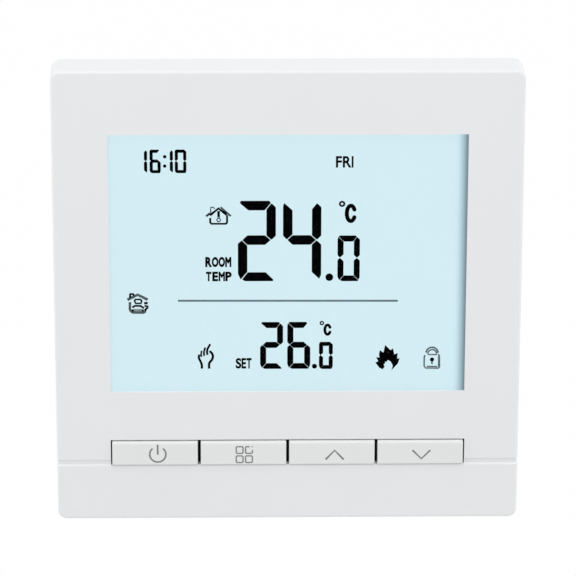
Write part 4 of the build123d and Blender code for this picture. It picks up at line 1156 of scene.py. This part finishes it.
def seen_directly(tree):
    rays = tree.nodes.new("ShaderNodeLightPath").outputs
    straight = Wire(tree, rays["Is Camera Ray"])
    mirrored = Wire(tree, rays["Is Glossy Ray"])
    passed = Wire(tree, rays["Is Transmission Ray"])
    return straight.maths("MINIMUM", straight + mirrored + passed, 1.0)


world = bpy.data.worlds.new("world")
bpy.context.scene.world = world
world.use_nodes = True
sky = world.node_tree.nodes["Background"]
sky.inputs["Color"].default_value = (1.0, 1.0, 1.0, 1.0)
feed(sky, "Strength", seen_directly(world.node_tree) * (1.0 - AMBIENT) + AMBIENT)
print("world lights at", AMBIENT)

# %% [markdown]
# ## The floor
#
# A wall thermostat stands on nothing, so the pale floor lies well below it. Seen directly it is almost
# pure white, and a small share of its own shading is left in, which keeps the object's soft shadow.

# %% Floor
FLOOR_LEVEL = -0.3
FLOOR_REACH = 30.0
WHITE_SHARE = 0.985

ground = begin()
bmesh.ops.create_grid(ground, x_segments=1, y_segments=1, size=FLOOR_REACH)
bmesh.ops.translate(ground, verts=ground.verts, vec=(0.0, 0.0, FLOOR_LEVEL))
ground_data = bpy.data.meshes.new("floor")
ground.to_mesh(ground_data)
ground.free()
floor = bpy.data.objects.new("floor", ground_data)
bpy.context.collection.objects.link(floor)
floor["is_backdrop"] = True

pale, pale_shader, place = new_finish("floor_pale", (0.9, 0.9, 0.9), 0.9)
cloud = noise(place, 0.4)
feed(pale_shader, "Base Color", blend(cloud, (0.89, 0.89, 0.89, 1.0), (0.91, 0.91, 0.91, 1.0)))
shadowed = Wire(pale.node_tree, pale_shader.outputs[0])
white = place.node("Emission", {}, {"Color": (1.0, 1.0, 1.0, 1.0), "Strength": 1.0})
share = seen_directly(pale.node_tree) * WHITE_SHARE
lit = place.node("MixShader", {}, {0: share, 1: shadowed, 2: white})
pale.node_tree.links.new(lit.socket, pale.node_tree.nodes["Material Output"].inputs["Surface"])
ground_data.materials.append(pale)
print("floor lies", FLOOR_LEVEL, "m from the middle of the plate")

# %% [markdown]
# ## Lamps
#
# The top face is nearly white, the front a little greyer, and the front darkens slightly from top to
# bottom. A large soft lamp close above and in front gives that step and that slope. Two weak lamps far
# to the sides brighten the rounded side edges. Each lamp looks at the origin.

# %% Lamps
def lamp(name, spot, size, watts):
    light = bpy.data.lights.new(name, "AREA")
    light.shape = "DISK"
    light.size = size
    light.energy = watts
    lamp_object = bpy.data.objects.new(name, light)
    bpy.context.collection.objects.link(lamp_object)
    spot = Vector(spot)
    turn = spot.to_track_quat("Z", "Y").to_matrix().to_4x4()
    lamp_object.matrix_world = Matrix.Translation(spot) @ turn
    print(name, "stands", round(spot.length, 2), "m away")


lamp("top_lamp", (0.02, -0.26, 0.5), 0.6, 1.32)
lamp("left_lamp", (-1.0, -0.12, 0.1), 0.8, 2.2)
lamp("right_lamp", (1.0, -0.12, 0.1), 0.8, 2.2)
bpy.context.scene.view_settings.view_transform = "Standard"

# %% [markdown]
# ## Finish
#
# The last step measures the box of the dressed object. The ink layers are hundredths of a millimetre, so
# it should agree with the box of the bare frame.

# %% Measure the box of the dressed object
low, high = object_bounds()
